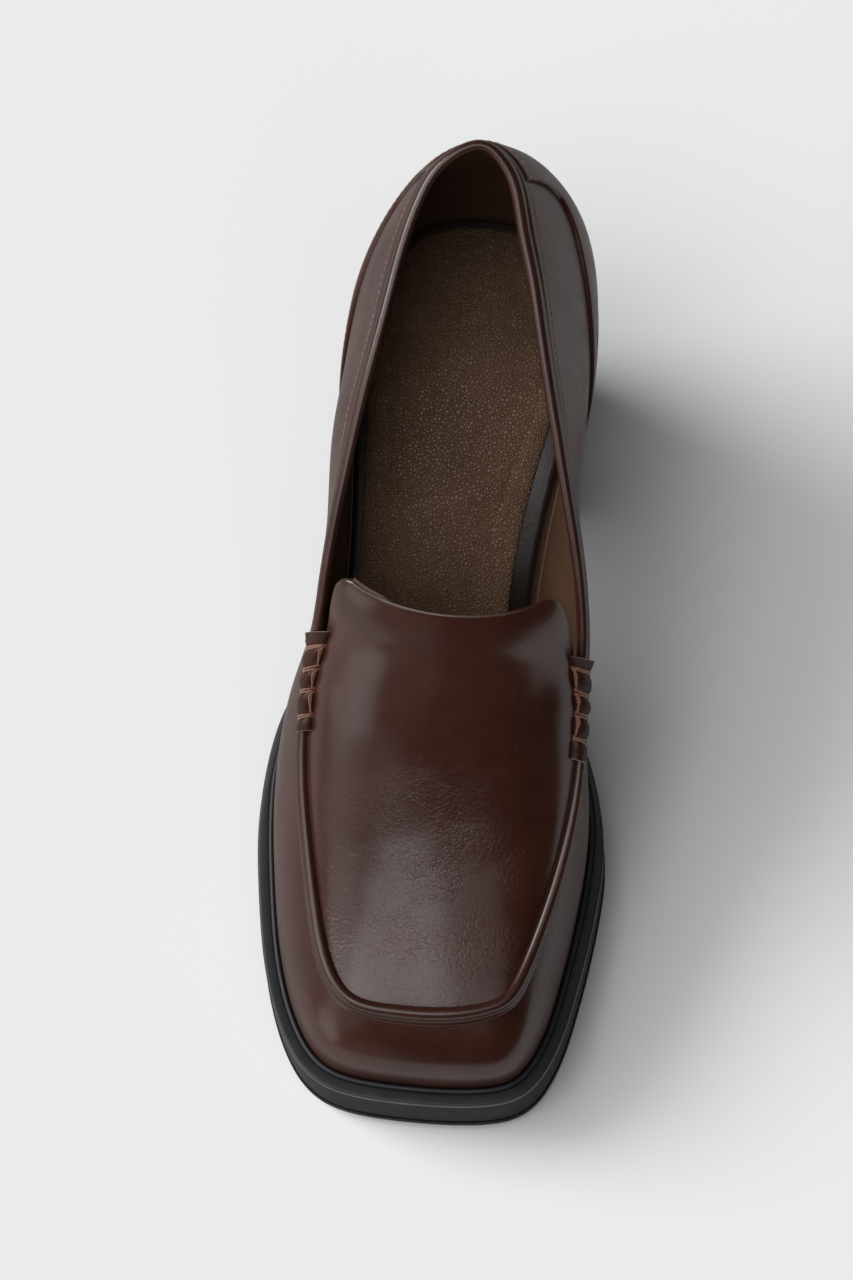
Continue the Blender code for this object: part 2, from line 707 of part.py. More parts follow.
def build_binding(finish, collection):
    """Rolled edge that rides on the collar from one side roll round the heel to the other."""
    rows = side_rows(-BINDING_END_ROW, BINDING_END_ROW)
    rim = wall_at(rows, 1.0)
    below = wall_at(rows, 0.96)
    ahead = unit(wall_at(rows + 0.02, 1.0) - wall_at(rows - 0.02, 1.0))
    upwards = rim - below
    upwards = unit(upwards - ahead * np.sum(upwards * ahead, axis=-1, keepdims=True))
    outward = np.cross(upwards, ahead)
    middle = rim + upwards * (GAP + BINDING_HEIGHT / 2) - outward * UPPER_WALL / 2
    rings = []
    for angle in np.linspace(0, 2 * math.pi, 11)[:-1]:
        rings.append(
            middle
            + outward * (BINDING_WIDTH / 2 * math.cos(angle))
            + upwards * (BINDING_HEIGHT / 2 * math.sin(angle))
        )
    return swept("collar_binding", np.stack(rings, axis=1), finish, collection)


def dome(count, edge):
    """Heights across a rounded strip, from its edge height up to 1 and back."""
    x = np.linspace(-1, 1, count)
    return edge + (1 - edge) * np.sqrt(np.clip(1 - x**2, 0, 1))


def build_piping(finish, collection):
    """Raised roll beside the apron seam, from one side roll round the toe to the other."""
    half = side_rows(ROLL_END_ROW, TOE_ROW)
    rows = np.concatenate([half, 2 * TOE_ROW - half[-2::-1]])
    distances = np.linspace(0, PIPING_WIDTH, 6)
    shares = share_below_rim(rows[:, None], distances[None, :])
    lifts = np.broadcast_to(dome(6, 0.2) * PIPING_HEIGHT, shares.shape)
    return on_wall("apron_piping", rows, shares, lifts, finish, collection)


def across_from_seam(step, side, distance):
    """Place on the apron that lies this far inside its edge, measured on the surface."""
    spread = np.linspace(1, 0.7, 61)
    points = apron_at(step[:, None], side * spread)
    steps = np.linalg.norm(np.diff(points, axis=1), axis=-1)
    run = np.concatenate([np.zeros_like(steps[:, :1]), np.cumsum(steps, axis=1)], axis=1)
    return side * np.array([np.interp(distance, r, spread) for r in run])


def build_side_roll(name, sign, finish, collection):
    """Stitched leather roll over the seam, pinched where its cross stitches pull it down."""
    reach = np.linspace(ROLL_START_ROW, ROLL_END_ROW - 0.1, 25)
    rows = sign * reach
    step = CORNER_ROW - reach
    inner = across_from_seam(step, sign, ROLL_WIDTH * ROLL_INNER * np.array([1.0, 0.5]))
    over_apron = apron_at(step[:, None], inner)
    distances = np.linspace(0, ROLL_WIDTH * (1 - ROLL_INNER), 4)
    shares = share_below_rim(rows[:, None], distances[None, :])
    over_wall = wall_at(rows[:, None], shares)
    ground = np.concatenate([over_apron, over_wall], axis=1)
    ahead = wall_at(rows + 0.02 * sign, 1.0) - wall_at(rows - 0.02 * sign, 1.0)
    span = ground[:, -1] - ground[:, 0]
    outward = sign * unit(np.cross(ahead, span))
    count = ground.shape[1]
    place = (reach - reach[0]) / (reach[-1] - reach[0])
    pinch = 1 - ROLL_PINCH * np.cos(math.pi * ROLL_LOBES * place) ** 8
    ends = np.clip(np.minimum(place, 1 - place) / ROLL_END_SHARE, ROLL_END_HEIGHT, 1)
    lifts = dome(count, 0.25)[None, :] * (ROLL_HEIGHT * pinch * ends)[:, None]
    under = ground + outward[:, None] * GAP
    over = under + outward[:, None] * lifts[..., None]
    return swept(name, np.concatenate([under, over[:, ::-1]], axis=1), finish, collection)


def build_counter(finish, collection):
    """Heel overlay: from the welt up to the binding, its front edges sweeping down and forward."""
    last = COUNTER_ROWS[-1][0]
    rows = side_rows(-last, last, 2 * STEPS_PER_ROW)
    top = monotone(*zip(*COUNTER_ROWS), np.abs(rows))
    shares = top[:, None] * np.linspace(0, 1, 7)[None, :]
    edge = np.array([0.5, 1, 1, 1, 1, 1, 0.5])
    lifts = np.broadcast_to(edge * COUNTER_THICKNESS, shares.shape)
    return on_wall("heel_counter", rows, shares, lifts, finish, collection)


def main():
    for old in list(bpy.data.objects):
        bpy.data.objects.remove(old, do_unlink=True)
    shoe = bpy.data.collections.new("loafer_pump")
    bpy.context.scene.collection.children.link(shoe)
    leather = material("polished_leather", (0.060, 0.018, 0.014), 0.25)
    edging = material("binding_leather", (0.050, 0.014, 0.011), 0.28)
    rubber = material("black_rubber", (0.016, 0.018, 0.021), 0.45)
    tip_rubber = material("heel_tip_rubber", (0.012, 0.012, 0.013), 0.60)
    footbed = material("footbed_leather", (0.035, 0.014, 0.010), 0.30)
    lining = material("sock_leather", (0.095, 0.062, 0.035), 0.50)

    build_platform(rubber, shoe)
    build_outsole(rubber, shoe)
    build_heel(rubber, tip_rubber, shoe)
    build_welt(rubber, shoe)
    build_insole(footbed, shoe)
    build_sock(lining, shoe)
    build_upper(leather, shoe)
    build_counter(leather, shoe)
    build_binding(edging, shoe)
    build_piping(edging, shoe)
    build_side_roll("side_roll_medial", 1, edging, shoe)
    build_side_roll("side_roll_lateral", -1, edging, shoe)


main()
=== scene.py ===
# %% [markdown]
# # A heeled loafer pump, dressed
# The plain solids of the shoe are already there when this lesson starts: they come in as a fixed
# frame. Each cell below makes one real piece of the shoe, finer and with its true finish, and lets
# it stand for its plain solid. Everything is in metres, the toe points to -Y, the big-toe side is +X.

# %% Load the plain solids
import json
import math

import bmesh
import bpy
import numpy as np
from mathutils import Matrix, Vector

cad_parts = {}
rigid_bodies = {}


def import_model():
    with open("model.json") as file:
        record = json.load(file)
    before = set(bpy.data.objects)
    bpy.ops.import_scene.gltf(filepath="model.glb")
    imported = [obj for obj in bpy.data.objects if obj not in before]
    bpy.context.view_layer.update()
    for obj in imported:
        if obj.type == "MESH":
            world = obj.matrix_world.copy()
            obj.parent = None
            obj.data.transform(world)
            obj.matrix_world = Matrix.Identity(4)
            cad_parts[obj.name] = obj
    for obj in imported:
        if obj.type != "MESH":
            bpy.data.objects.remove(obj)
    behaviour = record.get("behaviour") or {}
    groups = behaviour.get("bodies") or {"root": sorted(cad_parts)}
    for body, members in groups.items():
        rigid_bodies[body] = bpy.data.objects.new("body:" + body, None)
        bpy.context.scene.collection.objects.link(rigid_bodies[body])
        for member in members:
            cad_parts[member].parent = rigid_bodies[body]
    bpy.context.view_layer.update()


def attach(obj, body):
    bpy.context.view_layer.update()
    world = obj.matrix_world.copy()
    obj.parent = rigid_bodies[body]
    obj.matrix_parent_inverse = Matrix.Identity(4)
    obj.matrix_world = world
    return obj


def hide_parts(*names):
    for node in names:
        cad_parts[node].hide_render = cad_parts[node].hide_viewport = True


for old in list(bpy.data.objects):
    bpy.data.objects.remove(old, do_unlink=True)
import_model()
MM = 0.001

# %% [markdown]
# ## The camera
# A long lens looks down on the shoe from in front, high enough to see into the collar. It could be
# aimed by eye, but the real place of the camera was worked out from the shoe's known lengths, so it is
# given as a place, a point that it looks at, and a small roll.

# %% Camera
PHOTO_HEIGHT = 1280.0
FOCAL_PIXELS = 5000.0
SENSOR = 36.0
CAMERA_PLACE = Vector((74.92, -460.21, 1331.52)) * MM
CAMERA_ROLL = math.radians(3.7)

lens = bpy.data.cameras.new("photo_camera")
lens.sensor_width = SENSOR
lens.lens = SENSOR * FOCAL_PIXELS / PHOTO_HEIGHT
lens.clip_start, lens.clip_end = 0.05, 20.0
camera = bpy.data.objects.new("photo_camera", lens)
bpy.context.scene.collection.objects.link(camera)
bpy.context.scene.camera = camera
look_at = Vector((-7.0, 20.4, 0.0)) * MM
forward = (look_at - CAMERA_PLACE).normalized()
level = Vector((math.cos(CAMERA_ROLL), math.sin(CAMERA_ROLL), 0.0))
right = (level - forward * level.dot(forward)).normalized()
upward = right.cross(forward)
camera.matrix_world = Matrix.Translation(CAMERA_PLACE) @ Matrix(
    (right, upward, -forward)
).transposed().to_4x4()
print("lens in mm:", round(lens.lens, 2))

# %% [markdown]
# ## The last
# A shoe is built over a last, a block with the shape of the foot inside it. The surfaces of this shoe
# come from the same short tables as its plain solids: the sole's outline, the sole's side profile,
# the top edge of the side wall, and how the wall swells in between. A reader could model them by
# pulling a mesh about, but tables keep every piece on one surface, so that pieces meet.

# %% Sizes
SOLE_LENGTH = 240.8 * MM
BALL_WIDTH = 96.9 * MM
PLATFORM_HEIGHT = 18.5 * MM
SEAT_HEIGHT = 75.0 * MM
SHANK_THICKNESS = 8.0 * MM
TOE_SPRING = 3.0 * MM
OUTSOLE_THICKNESS = 3.6 * MM
OUTSOLE_LIP = 0.3 * MM
LEDGE_WIDTH = 4.8 * MM
HEEL_INSET = 0.6 * MM
HEEL_TAPER = 0.80
HEEL_BACK_RAKE = 4.0 * MM
HEEL_TIP_THICKNESS = 6.0 * MM
COLLAR_HEIGHT = 112.0 * MM
APRON_HEIGHT = 27.0 * MM
UPPER_WALL = 2.0 * MM
WELT_HEIGHT = 2.2 * MM
BEAD_HEIGHT = 3.2 * MM
INSOLE_THICKNESS = 4.2 * MM
SOCK_THICKNESS = 1.8 * MM
SOCK_MARGIN = 6.4 * MM
GAP = 0.3 * MM
PLACE = np.array([-0.3 * MM, -0.4 * MM, 0.0])
SPRING_START = 0.80
WALL_SWELL = 6.0 * MM
ROUND_OVER = 0.60
BREAST_ROW = 5.5
NOTCH_ROW = 11
ROLL_START_ROW = 9.95
ROLL_END_ROW = 12
CORNER_ROW = 17
TOE_ROW = 20
APRON_ROUND = 0.72
FLAP_CORNER = 0.10
FLAP_CORNER_START = 9.0
FLAP_TOP = 10.0
TOE_BLEND_ROWS = 3.0

# %% Tables of the last
OUTLINE_ROWS = (
    # along, medial, lateral, ledge
    (0.0000, 0.041, 0.041, 0.38),
    (0.0090, 0.203, -0.104, 0.38),
    (0.0390, 0.319, -0.215, 0.38),
    (0.0890, 0.376, -0.284, 0.38),
    (0.1470, 0.392, -0.314, 0.38),
    (0.2180, 0.384, -0.319, 0.36),
    (0.2965, 0.352, -0.312, 0.32),
    (0.3840, 0.315, -0.307, 0.30),
    (0.4585, 0.303, -0.327, 0.30),
    (0.5166, 0.340, -0.385, 0.34),
    (0.5580, 0.401, -0.440, 0.46),
    (0.6146, 0.461, -0.477, 0.70),
    (0.6786, 0.493, -0.489, 0.92),
    (0.7367, 0.491, -0.480, 1.00),
    (0.8030, 0.470, -0.458, 1.00),
    (0.8570, 0.446, -0.431, 1.00),
    (0.9070, 0.418, -0.391, 1.00),
    (0.9506, 0.377, -0.335, 1.02),
    (0.9800, 0.322, -0.262, 1.04),
    (0.9960, 0.230, -0.142, 1.04),
    (1.0010, 0.062, 0.062, 1.04),
)
PROFILE_ROWS = (
    # along, rise of the platform's top, lift of the underside
    (-0.05, 1.000, 1.000),
    (0.00, 1.000, 1.000),
    (0.10, 0.982, 0.990),
    (0.20, 0.927, 0.930),
    (0.30, 0.780, 0.800),
    (0.40, 0.555, 0.590),
    (0.50, 0.290, 0.345),
    (0.56, 0.165, 0.165),
    (0.62, 0.070, 0.035),
    (0.66, 0.030, 0.000),
    (0.76, 0.000, 0.000),
    (1.05, 0.000, 0.000),
)
RIM_ROWS = (
    # medial along, medial across, medial height, lateral along, lateral across, lateral height
    (0.0270, 0.056, 1.012, 0.0270, 0.056, 1.012),
    (0.0435, 0.134, 1.000, 0.0420, -0.038, 1.002),
    (0.0745, 0.178, 0.974, 0.0695, -0.100, 0.980),
    (0.1180, 0.206, 0.940, 0.1110, -0.144, 0.946),
    (0.1660, 0.239, 0.903, 0.1590, -0.176, 0.907),
    (0.2260, 0.271, 0.857, 0.2240, -0.209, 0.857),
    (0.2945, 0.311, 0.790, 0.2990, -0.252, 0.790),
    (0.3710, 0.355, 0.705, 0.3750, -0.284, 0.707),
    (0.4460, 0.398, 0.616, 0.4480, -0.311, 0.622),
    (0.5040, 0.419, 0.545, 0.5010, -0.326, 0.556),
    (0.5420, 0.423, 0.493, 0.5360, -0.336, 0.508),
    (0.5860, 0.416, 0.424, 0.5770, -0.338, 0.444),
    (0.6350, 0.411, 0.360, 0.6230, -0.342, 0.381),
    (0.6910, 0.398, 0.315, 0.6839, -0.332, 0.330),
    (0.7575, 0.367, 0.275, 0.7560, -0.302, 0.282),
    (0.8220, 0.324, 0.249, 0.8240, -0.266, 0.252),
    (0.8660, 0.288, 0.241, 0.8700, -0.230, 0.241),
    (0.8950, 0.247, 0.239, 0.8985, -0.184, 0.239),
    (0.9080, 0.175, 0.239, 0.9110, -0.122, 0.239),
    (0.9130, 0.110, 0.240, 0.9143, -0.040, 0.240),
    (0.9150, 0.040, 0.240, 0.9150, 0.040, 0.240),
)
INSIDE_ROWS = (
    # row, insole medial, insole lateral, sock medial, sock lateral
    (0, 0.05, 0.05, 0.55, 0.55),
    (3, 0.05, 0.05, 0.60, 0.55),
    (5, 0.10, 0.05, 0.78, 0.55),
    (7, 0.32, 0.05, 1.15, 0.48),
    (9, 0.40, 0.05, 1.25, 0.46),
    (11, 0.30, 0.05, 1.15, 0.50),
    (14, 0.05, 0.05, 0.80, 0.70),
    (20, 0.05, 0.05, 0.60, 0.60),
)
WALL_ROWS = (
    # stand, drop, medial belly, medial lean, lateral belly, lateral lean
    (0.33, 0.30, 0.50, 0.46, 0.50, 0.46),
    (0.33, 0.23, 0.95, 1.10, 0.20, 0.16),
    (0.33, 0.28, 0.80, 0.80, -0.06, 0.14),
    (0.33, 0.31, 0.46, 0.50, -0.06, 0.16),
    (0.33, 0.32, 0.40, 0.36, 0.10, 0.18),
    (0.33, 0.33, 0.66, 0.42, 0.40, 0.28),
    (0.33, 0.33, 1.15, 0.95, 0.86, 0.78),
    (0.33, 0.33, 1.20, 0.75, 0.94, 0.58),
    (0.33, 0.33, 1.08, 0.50, 0.78, 0.34),
    (0.33, 0.33, 0.80, 0.32, 0.44, 0.14),
    (0.36, 0.30, 0.50, 0.26, 0.16, 0.05),
    (0.40, 0.27, 0.30, 0.20, 0.06, 0.02),
    (0.44, 0.27, 0.18, 0.17, 0.05, 0.04),
    (0.48, 0.26, 0.12, 0.14, 0.06, 0.08),
    (0.52, 0.26, 0.08, 0.10, 0.07, 0.09),
    (0.54, 0.26, 0.06, 0.05, 0.06, 0.05),
    (0.56, 0.27, 0.05, 0.00, 0.05, 0.00),
    (0.57, 0.28, 0.05, 0.00, 0.05, 0.00),
    (0.57, 0.28, 0.05, 0.00, 0.05, 0.00),
    (0.57, 0.28, 0.05, 0.00, 0.05, 0.00),
    (0.57, 0.28, 0.05, 0.00, 0.05, 0.00),
)
APRON_ROWS = (
    # crown, bow
    (0.01, 0.20),
    (0.09, 0.18),
    (0.19, 0.16),
    (0.32, 0.16),
    (0.46, 0.17),
    (0.58, 0.20),
    (0.62, 0.26),
    (0.545, 0.350),
    (0.365, 0.352),
    (0.205, 0.365),
    (0.11, 0.40),
)
FLAP_ROWS = (
    # medial along, medial across, medial height, lateral along, lateral across, lateral height
    (0.5420, 0.396, 0.516, 0.5360, -0.306, 0.532),
    (0.5255, 0.384, 0.597, 0.5205, -0.291, 0.612),
    (0.5095, 0.364, 0.671, 0.5045, -0.278, 0.685),
    (0.4960, 0.334, 0.718, 0.4885, -0.256, 0.734),
)
COUNTER_ROWS = (
    # row, share of the wall
    (0.0, 0.985),
    (1.72, 0.985),
    (1.80, 0.86),
    (1.92, 0.74),
    (2.10, 0.665),
    (2.5, 0.60),
    (3.0, 0.54),
    (3.5, 0.48),
    (4.0, 0.41),
    (4.5, 0.32),
    (5.0, 0.21),
    (5.5, 0.10),
    (5.75, 0.05),
)
print("rows round the sole:", len(OUTLINE_ROWS))

# %% [markdown]
# ### Smooth curves through the tables
# Two kinds of curve are enough. A cubic spline bends evenly through its rows, which suits the
# outline and the collar. A monotone curve never overshoots, which keeps flat runs flat, as under
# the ball of the foot.


# %% Curves
def spline(points, at, closed):
    """Points on the smooth curve through the rows of points, at row numbers."""
    count = len(points)
    system = np.eye(count)
    wanted = np.zeros_like(points)
    for i in range(0 if closed else 1, count if closed else count - 1):
        before, after = (i - 1) % count, (i + 1) % count
        system[i, before], system[i, i], system[i, after] = 1, 4, 1
        wanted[i] = 6 * (points[before] - 2 * points[i] + points[after])
    bend = np.linalg.solve(system, wanted)
    at = np.asarray(at, float)
    low = np.floor(at).astype(int)
    if not closed:
        low = np.clip(low, 0, count - 2)
    t = (at - low)[..., None]
    i, j = low % count, (low + 1) % count
    ends = (1 - t) * points[i] + t * points[j]
    return ends + ((1 - t) ** 3 - (1 - t)) * bend[i] / 6 + (t**3 - t) * bend[j] / 6


def closed_spline(points, at):
    return spline(points, at, True)


def monotone(xs, ys, x):
    """Smooth curve through (xs, ys) with no overshoot."""
    xs, ys = np.asarray(xs, float), np.asarray(ys, float)
    step = np.diff(xs)
    slope = np.diff(ys) / step
    tangent = np.zeros(len(xs))
    for i in range(1, len(xs) - 1):
        if slope[i - 1] * slope[i] > 0:
            tangent[i] = 2 * slope[i - 1] * slope[i] / (slope[i - 1] + slope[i])
    x = np.clip(np.asarray(x, float), xs[0], xs[-1])
    i = np.clip(np.searchsorted(xs, x) - 1, 0, len(step) - 1)
    t = (x - xs[i]) / step[i]
    return (
        ys[i] * (2 * t**3 - 3 * t**2 + 1)
        + ys[i + 1] * (3 * t**2 - 2 * t**3)
        + tangent[i] * step[i] * (t**3 - 2 * t**2 + t)
        + tangent[i + 1] * step[i] * (t**3 - t**2)
    )


def unit(vectors):
    return vectors / np.linalg.norm(vectors, axis=-1, keepdims=True)


def both_sides(medial, lateral):
    """One closed loop of rows: down the medial side to the toe and back up the lateral."""
    return np.array(list(medial) + list(lateral[-2:0:-1]), float)


# %% [markdown]
# ### Surfaces of the last
# The platform's top carries the upper and the footbed. The side wall rises from it to the rim in one
# soft curve at each row, and the apron spans the vamp between the two seams.


# %% Sole, wall and apron surfaces
def along_of(y):
    return 0.5 - np.asarray(y) / SOLE_LENGTH


def y_of(along):
    return (0.5 - along) * SOLE_LENGTH


def spring(y):
    share = np.clip((along_of(y) - SPRING_START) / (1 - SPRING_START), 0, None)
    return TOE_SPRING * share**2


def platform_top(y):
    alongs, rises, _ = zip(*PROFILE_ROWS)
    rise = monotone(alongs, rises, along_of(y))
    return PLATFORM_HEIGHT + (SEAT_HEIGHT - PLATFORM_HEIGHT) * rise + spring(y)


def tread(y):
    alongs, _, lifts = zip(*PROFILE_ROWS)
    return (SEAT_HEIGHT - SHANK_THICKNESS) * monotone(alongs, lifts, along_of(y)) + spring(y)


OUTLINE = both_sides(
    [(m * BALL_WIDTH, y_of(a), g * LEDGE_WIDTH) for a, m, _, g in OUTLINE_ROWS],
    [(l * BALL_WIDTH, y_of(a), g * LEDGE_WIDTH) for a, _, l, g in OUTLINE_ROWS],
)


def rim_point(along, across, height):
    return (across * BALL_WIDTH, y_of(along), PLATFORM_HEIGHT + height * COLLAR_HEIGHT)


RIM = both_sides([rim_point(*r[:3]) for r in RIM_ROWS], [rim_point(*r[3:]) for r in RIM_ROWS])
WALL = both_sides(
    [(s, d, belly, lean) for s, d, belly, lean, _, _ in WALL_ROWS],
    [(s, d, belly, lean) for s, d, _, _, belly, lean in WALL_ROWS],
)


def outline_at(row, inset=0.0):
    """Plan points of the sole's outline at signed rows, + medial and - lateral, moved inwards."""
    row = np.asarray(row, float)
    nudge = 0.01
    point = closed_spline(OUTLINE, row)[..., :2]
    ahead = closed_spline(OUTLINE, row + nudge)[..., :2]
    behind = closed_spline(OUTLINE, row - nudge)[..., :2]
    tangent = unit(ahead - behind)
    outward = np.stack([-tangent[..., 1], tangent[..., 0]], axis=-1)
    return point - outward * np.asarray(inset)[..., None], outward


def ledge_at(row):
    return closed_spline(OUTLINE, row)[..., 2]


def wall_at(row, share):
    """Outer surface of the side wall at signed rows; share is 0 at the sole and 1 at the rim."""
    row, share = np.broadcast_arrays(np.asarray(row, float), np.asarray(share, float))
    foot, outward = outline_at(row, ledge_at(row))
    outward = np.concatenate([outward, np.zeros_like(outward[..., :1])], axis=-1)
    low = platform_top(foot[..., 1]) + GAP + BEAD_HEIGHT
    base = np.concatenate([foot, low[..., None]], axis=-1)
    rim = closed_spline(RIM, row)
    stand, drop, belly, lean = np.moveaxis(closed_spline(WALL, row), -1, 0)
    height = rim[..., 2] - base[..., 2]
    inset = np.clip(np.sum((base - rim)[..., :2] * outward[..., :2], axis=-1), 0, None)
    up = np.array([0.0, 0.0, 1.0])
    lower = base + up * (stand * height)[..., None] + outward * (belly * WALL_SWELL)[..., None]
    reach = lean * WALL_SWELL + ROUND_OVER * inset
    upper = rim - up * (drop * height)[..., None] + outward * reach[..., None]
    t = share[..., None]
    return (
        (1 - t) ** 3 * base + 3 * (1 - t) ** 2 * t * lower + 3 * (1 - t) * t**2 * upper + t**3 * rim
    )


def lasting_edge(row):
    """Foot of the side wall, hidden behind the welt."""
    foot, _ = outline_at(row, ledge_at(row))
    return np.concatenate([foot, (platform_top(foot[..., 1]) + GAP)[..., None]], axis=-1)


def flap_side(step, side):
    """The apron's edge on one side, as one curve from the toe corner to the flap's corner."""
    columns = slice(0, 3) if side > 0 else slice(3, 6)
    seam = [rim_point(*RIM_ROWS[r][columns]) for r in range(TOE_ROW, NOTCH_ROW - 1, -1)]
    free = [rim_point(*r[columns]) for r in FLAP_ROWS]
    return spline(np.array(seam + free, float), step + TOE_ROW - CORNER_ROW, False)


def apron_at(step, across):
    """Outer surface of the apron. step: rows up from the toe corner; across: -1 to 1, medial."""
    step, across = np.broadcast_arrays(np.asarray(step, float), np.asarray(across, float))
    near_edge = np.clip(step - FLAP_CORNER_START, 0, 1)
    across = across * (1 - FLAP_CORNER * (1 - np.sqrt(1 - near_edge**2)))
    seam_steps = CORNER_ROW - NOTCH_ROW
    on_seam = np.clip(step, 0, seam_steps)
    sewn = (step <= seam_steps)[..., None]
    medial = np.where(sewn, closed_spline(RIM, CORNER_ROW - on_seam), flap_side(step, 1))
    lateral = np.where(sewn, closed_spline(RIM, on_seam - CORNER_ROW), flap_side(step, -1))
    apron_rows = np.array(APRON_ROWS)
    crown, bow = np.moveaxis(spline(apron_rows, step, False), -1, 0) * APRON_HEIGHT
    bulge = np.clip(1 - across**2, 0, 1) ** APRON_ROUND
    right_share, left_share = ((1 + across) / 2)[..., None], ((1 - across) / 2)[..., None]
    surface = medial * right_share + lateral * left_share
    surface[..., 1] -= bow * bulge
    surface[..., 2] += crown * bulge
    fade = np.clip(1 - step / TOE_BLEND_ROWS, 0, 1) ** 2
    toe_row = np.where(across < 0, -1, 1) * (TOE_ROW - (TOE_ROW - CORNER_ROW) * np.abs(across))
    toe_seam = closed_spline(RIM, toe_row)
    flat = closed_spline(RIM, CORNER_ROW) * right_share + closed_spline(RIM, -CORNER_ROW) * left_share
    flat[..., 1] -= apron_rows[0, 1] * APRON_HEIGHT * bulge
    flat[..., 2] += apron_rows[0, 0] * APRON_HEIGHT * bulge
    return surface + (toe_seam - flat) * fade[..., None]


def wall_normal(row, share):
    """Outward unit normals of the side wall."""
    nudge = 0.02
    high, low = np.clip(share + nudge, 0, 1), np.clip(share - nudge, 0, 1)
    around = wall_at(row + nudge, share) - wall_at(row - nudge, share)
    upwards = wall_at(row, high) - wall_at(row, low)
    return unit(np.cross(upwards, around))


def share_below_rim(row, distance):
    """Share of the side wall that lies this far below the rim, measured on the surface."""
    row, distance = np.broadcast_arrays(np.asarray(row, float), np.asarray(distance, float))
    shares = np.linspace(1, 0, 81)
    points = wall_at(row[..., None], shares)
    steps = np.linalg.norm(np.diff(points, axis=-2), axis=-1)
    run = np.concatenate([np.zeros_like(steps[..., :1]), np.cumsum(steps, axis=-1)], axis=-1)
    runs = run.reshape(-1, len(shares))
    found = [np.interp(d, r, shares) for d, r in zip(distance.ravel(), runs)]
    return np.array(found).reshape(row.shape)


def side_rows(first, last, steps):
    """Signed rows from first to last, counted as lateral below zero."""
    return np.linspace(first, last, int(round((last - first) * steps)) + 1)


print("ball width in mm:", round(float(np.ptp(OUTLINE[:, 0])) / MM, 1))

# %% [markdown]
# ## Node trees in a few words
# Every finish and every Geometry Nodes tree below is wired by the same two small helpers: one adds a
# node and sets its settings, and one fills each input with a plain value or with a link.


# %% Helpers for node trees
def fill(tree, made, inputs):
    """Gives each named input of a node its link or its plain value."""
    for key, value in inputs.items():
        if isinstance(value, bpy.types.NodeSocket):
            tree.links.new(value, made.inputs[key])
        else:
            made.inputs[key].default_value = value


def node(tree, kind, inputs=None, **settings):
    made = tree.nodes.new(kind)
    for key, value in settings.items():
        setattr(made, key, value)
    fill(tree, made, inputs or {})
    return made


def math_node(tree, operation, a, b=0.0):
    return node(tree, "ShaderNodeMath", {0: a, 1: b}, operation=operation).outputs[0]


def noise(tree, where, scale, detail=3.0, roughness=0.55, distortion=0.0):
    """A noise whose scale counts lumps per metre."""
    sizes = {"Scale": scale, "Detail": detail, "Roughness": roughness, "Distortion": distortion}
    return node(tree, "ShaderNodeTexNoise", {"Vector": where, **sizes}).outputs[0]


def between(tree, value, low, high, to_low=0.0, to_high=1.0):
    """The value taken from one range to another and held at its ends."""
    sizes = {"From Min": low, "From Max": high, "To Min": to_low, "To Max": to_high}
    return node(tree, "ShaderNodeMapRange", {"Value": value, **sizes}, clamp=True).outputs[0]


def mix_colours(tree, share, *colours):
    """A mix of two colours, each of them a link or three plain numbers."""
    is_link = [isinstance(colour, bpy.types.NodeSocket) for colour in colours]
    first, second = (c if link else (*c, 1.0) for c, link in zip(colours, is_link))
    return node(tree, "ShaderNodeMix", {0: share, 6: first, 7: second}, data_type="RGBA").outputs[2]


def tones(tree, where, lumps, deep, bright, low=0.3, high=0.7):
    """Two tones mixed by a noise; lumps are its scale, detail and roughness."""
    share = between(tree, noise(tree, where, *lumps), low, high)
    return mix_colours(tree, share, deep, bright)


def warped(tree, where, scale, push):
    """The same place, pushed about by a noise by up to these lengths in metres."""
    cloud = node(tree, "ShaderNodeTexNoise", {"Vector": where, "Scale": scale, "Detail": 3.0})
    parts = {0: cloud.outputs["Color"], 1: push, 2: where}
    return node(tree, "ShaderNodeVectorMath", parts, operation="MULTIPLY_ADD").outputs[0]


def new_finish(name):
    """A material with its tree, its shader, and the point's place on the shoe in metres."""
    made = bpy.data.materials.new(name)
    made.use_nodes = True
    tree = made.node_tree
    place = node(tree, "ShaderNodeTexCoord").outputs["Object"]
    return made, tree, tree.nodes["Principled BSDF"], place


def bump(tree, height, depth):
    """Bump from a height of 0 to 1, which stands for this depth in metres."""
    return node(tree, "ShaderNodeBump", {"Height": height, "Distance": depth}).outputs[0]


# %% [markdown]
# ## Polished leather
# The upper is smooth, polished leather: deep reddish brown with a clear gloss, fine pores and, over
# the toes, a web of fine creases. A photo of leather could be wrapped on, but noise at three sizes
# gives the same parts and never repeats: soft clouds for colour, cells for the pores, and thin
# folded lines for the creases, which fade out away from the spot where the toes bend.


# %% Polished leather
CREASE_SPOT = (0.004, -0.066, 0.046)
CREASE_REACH = 0.046
WEB_SHARE, CREASE_HEIGHT = 0.8, -0.48
PORE_SHARE, GRAIN_SHARE = 0.10, 0.50
LEATHER_BUMP = 0.00011
WAX_ROUGHNESS = 0.17
GRAZING_ROUGHNESS = 0.28


def thin_lines(tree, where, scale, width, distortion=0.9):
    """Lines where a noise crosses its middle, 1 on the line and 0 beside it."""
    cloud = noise(tree, where, scale, 2.0, 0.45, distortion)
    apart = math_node(tree, "ABSOLUTE", math_node(tree, "SUBTRACT", cloud, 0.5))
    return between(tree, apart, 0.0, width, 1.0, 0.0)


def cell_edges(tree, where, scale, width):
    """The web of edges between random cells, 1 on an edge and 0 beside it."""
    sizes = {"Vector": where, "Scale": scale}
    cells = node(tree, "ShaderNodeTexVoronoi", sizes, feature="DISTANCE_TO_EDGE")
    return between(tree, cells.outputs["Distance"], 0.0, width, 1.0, 0.0)


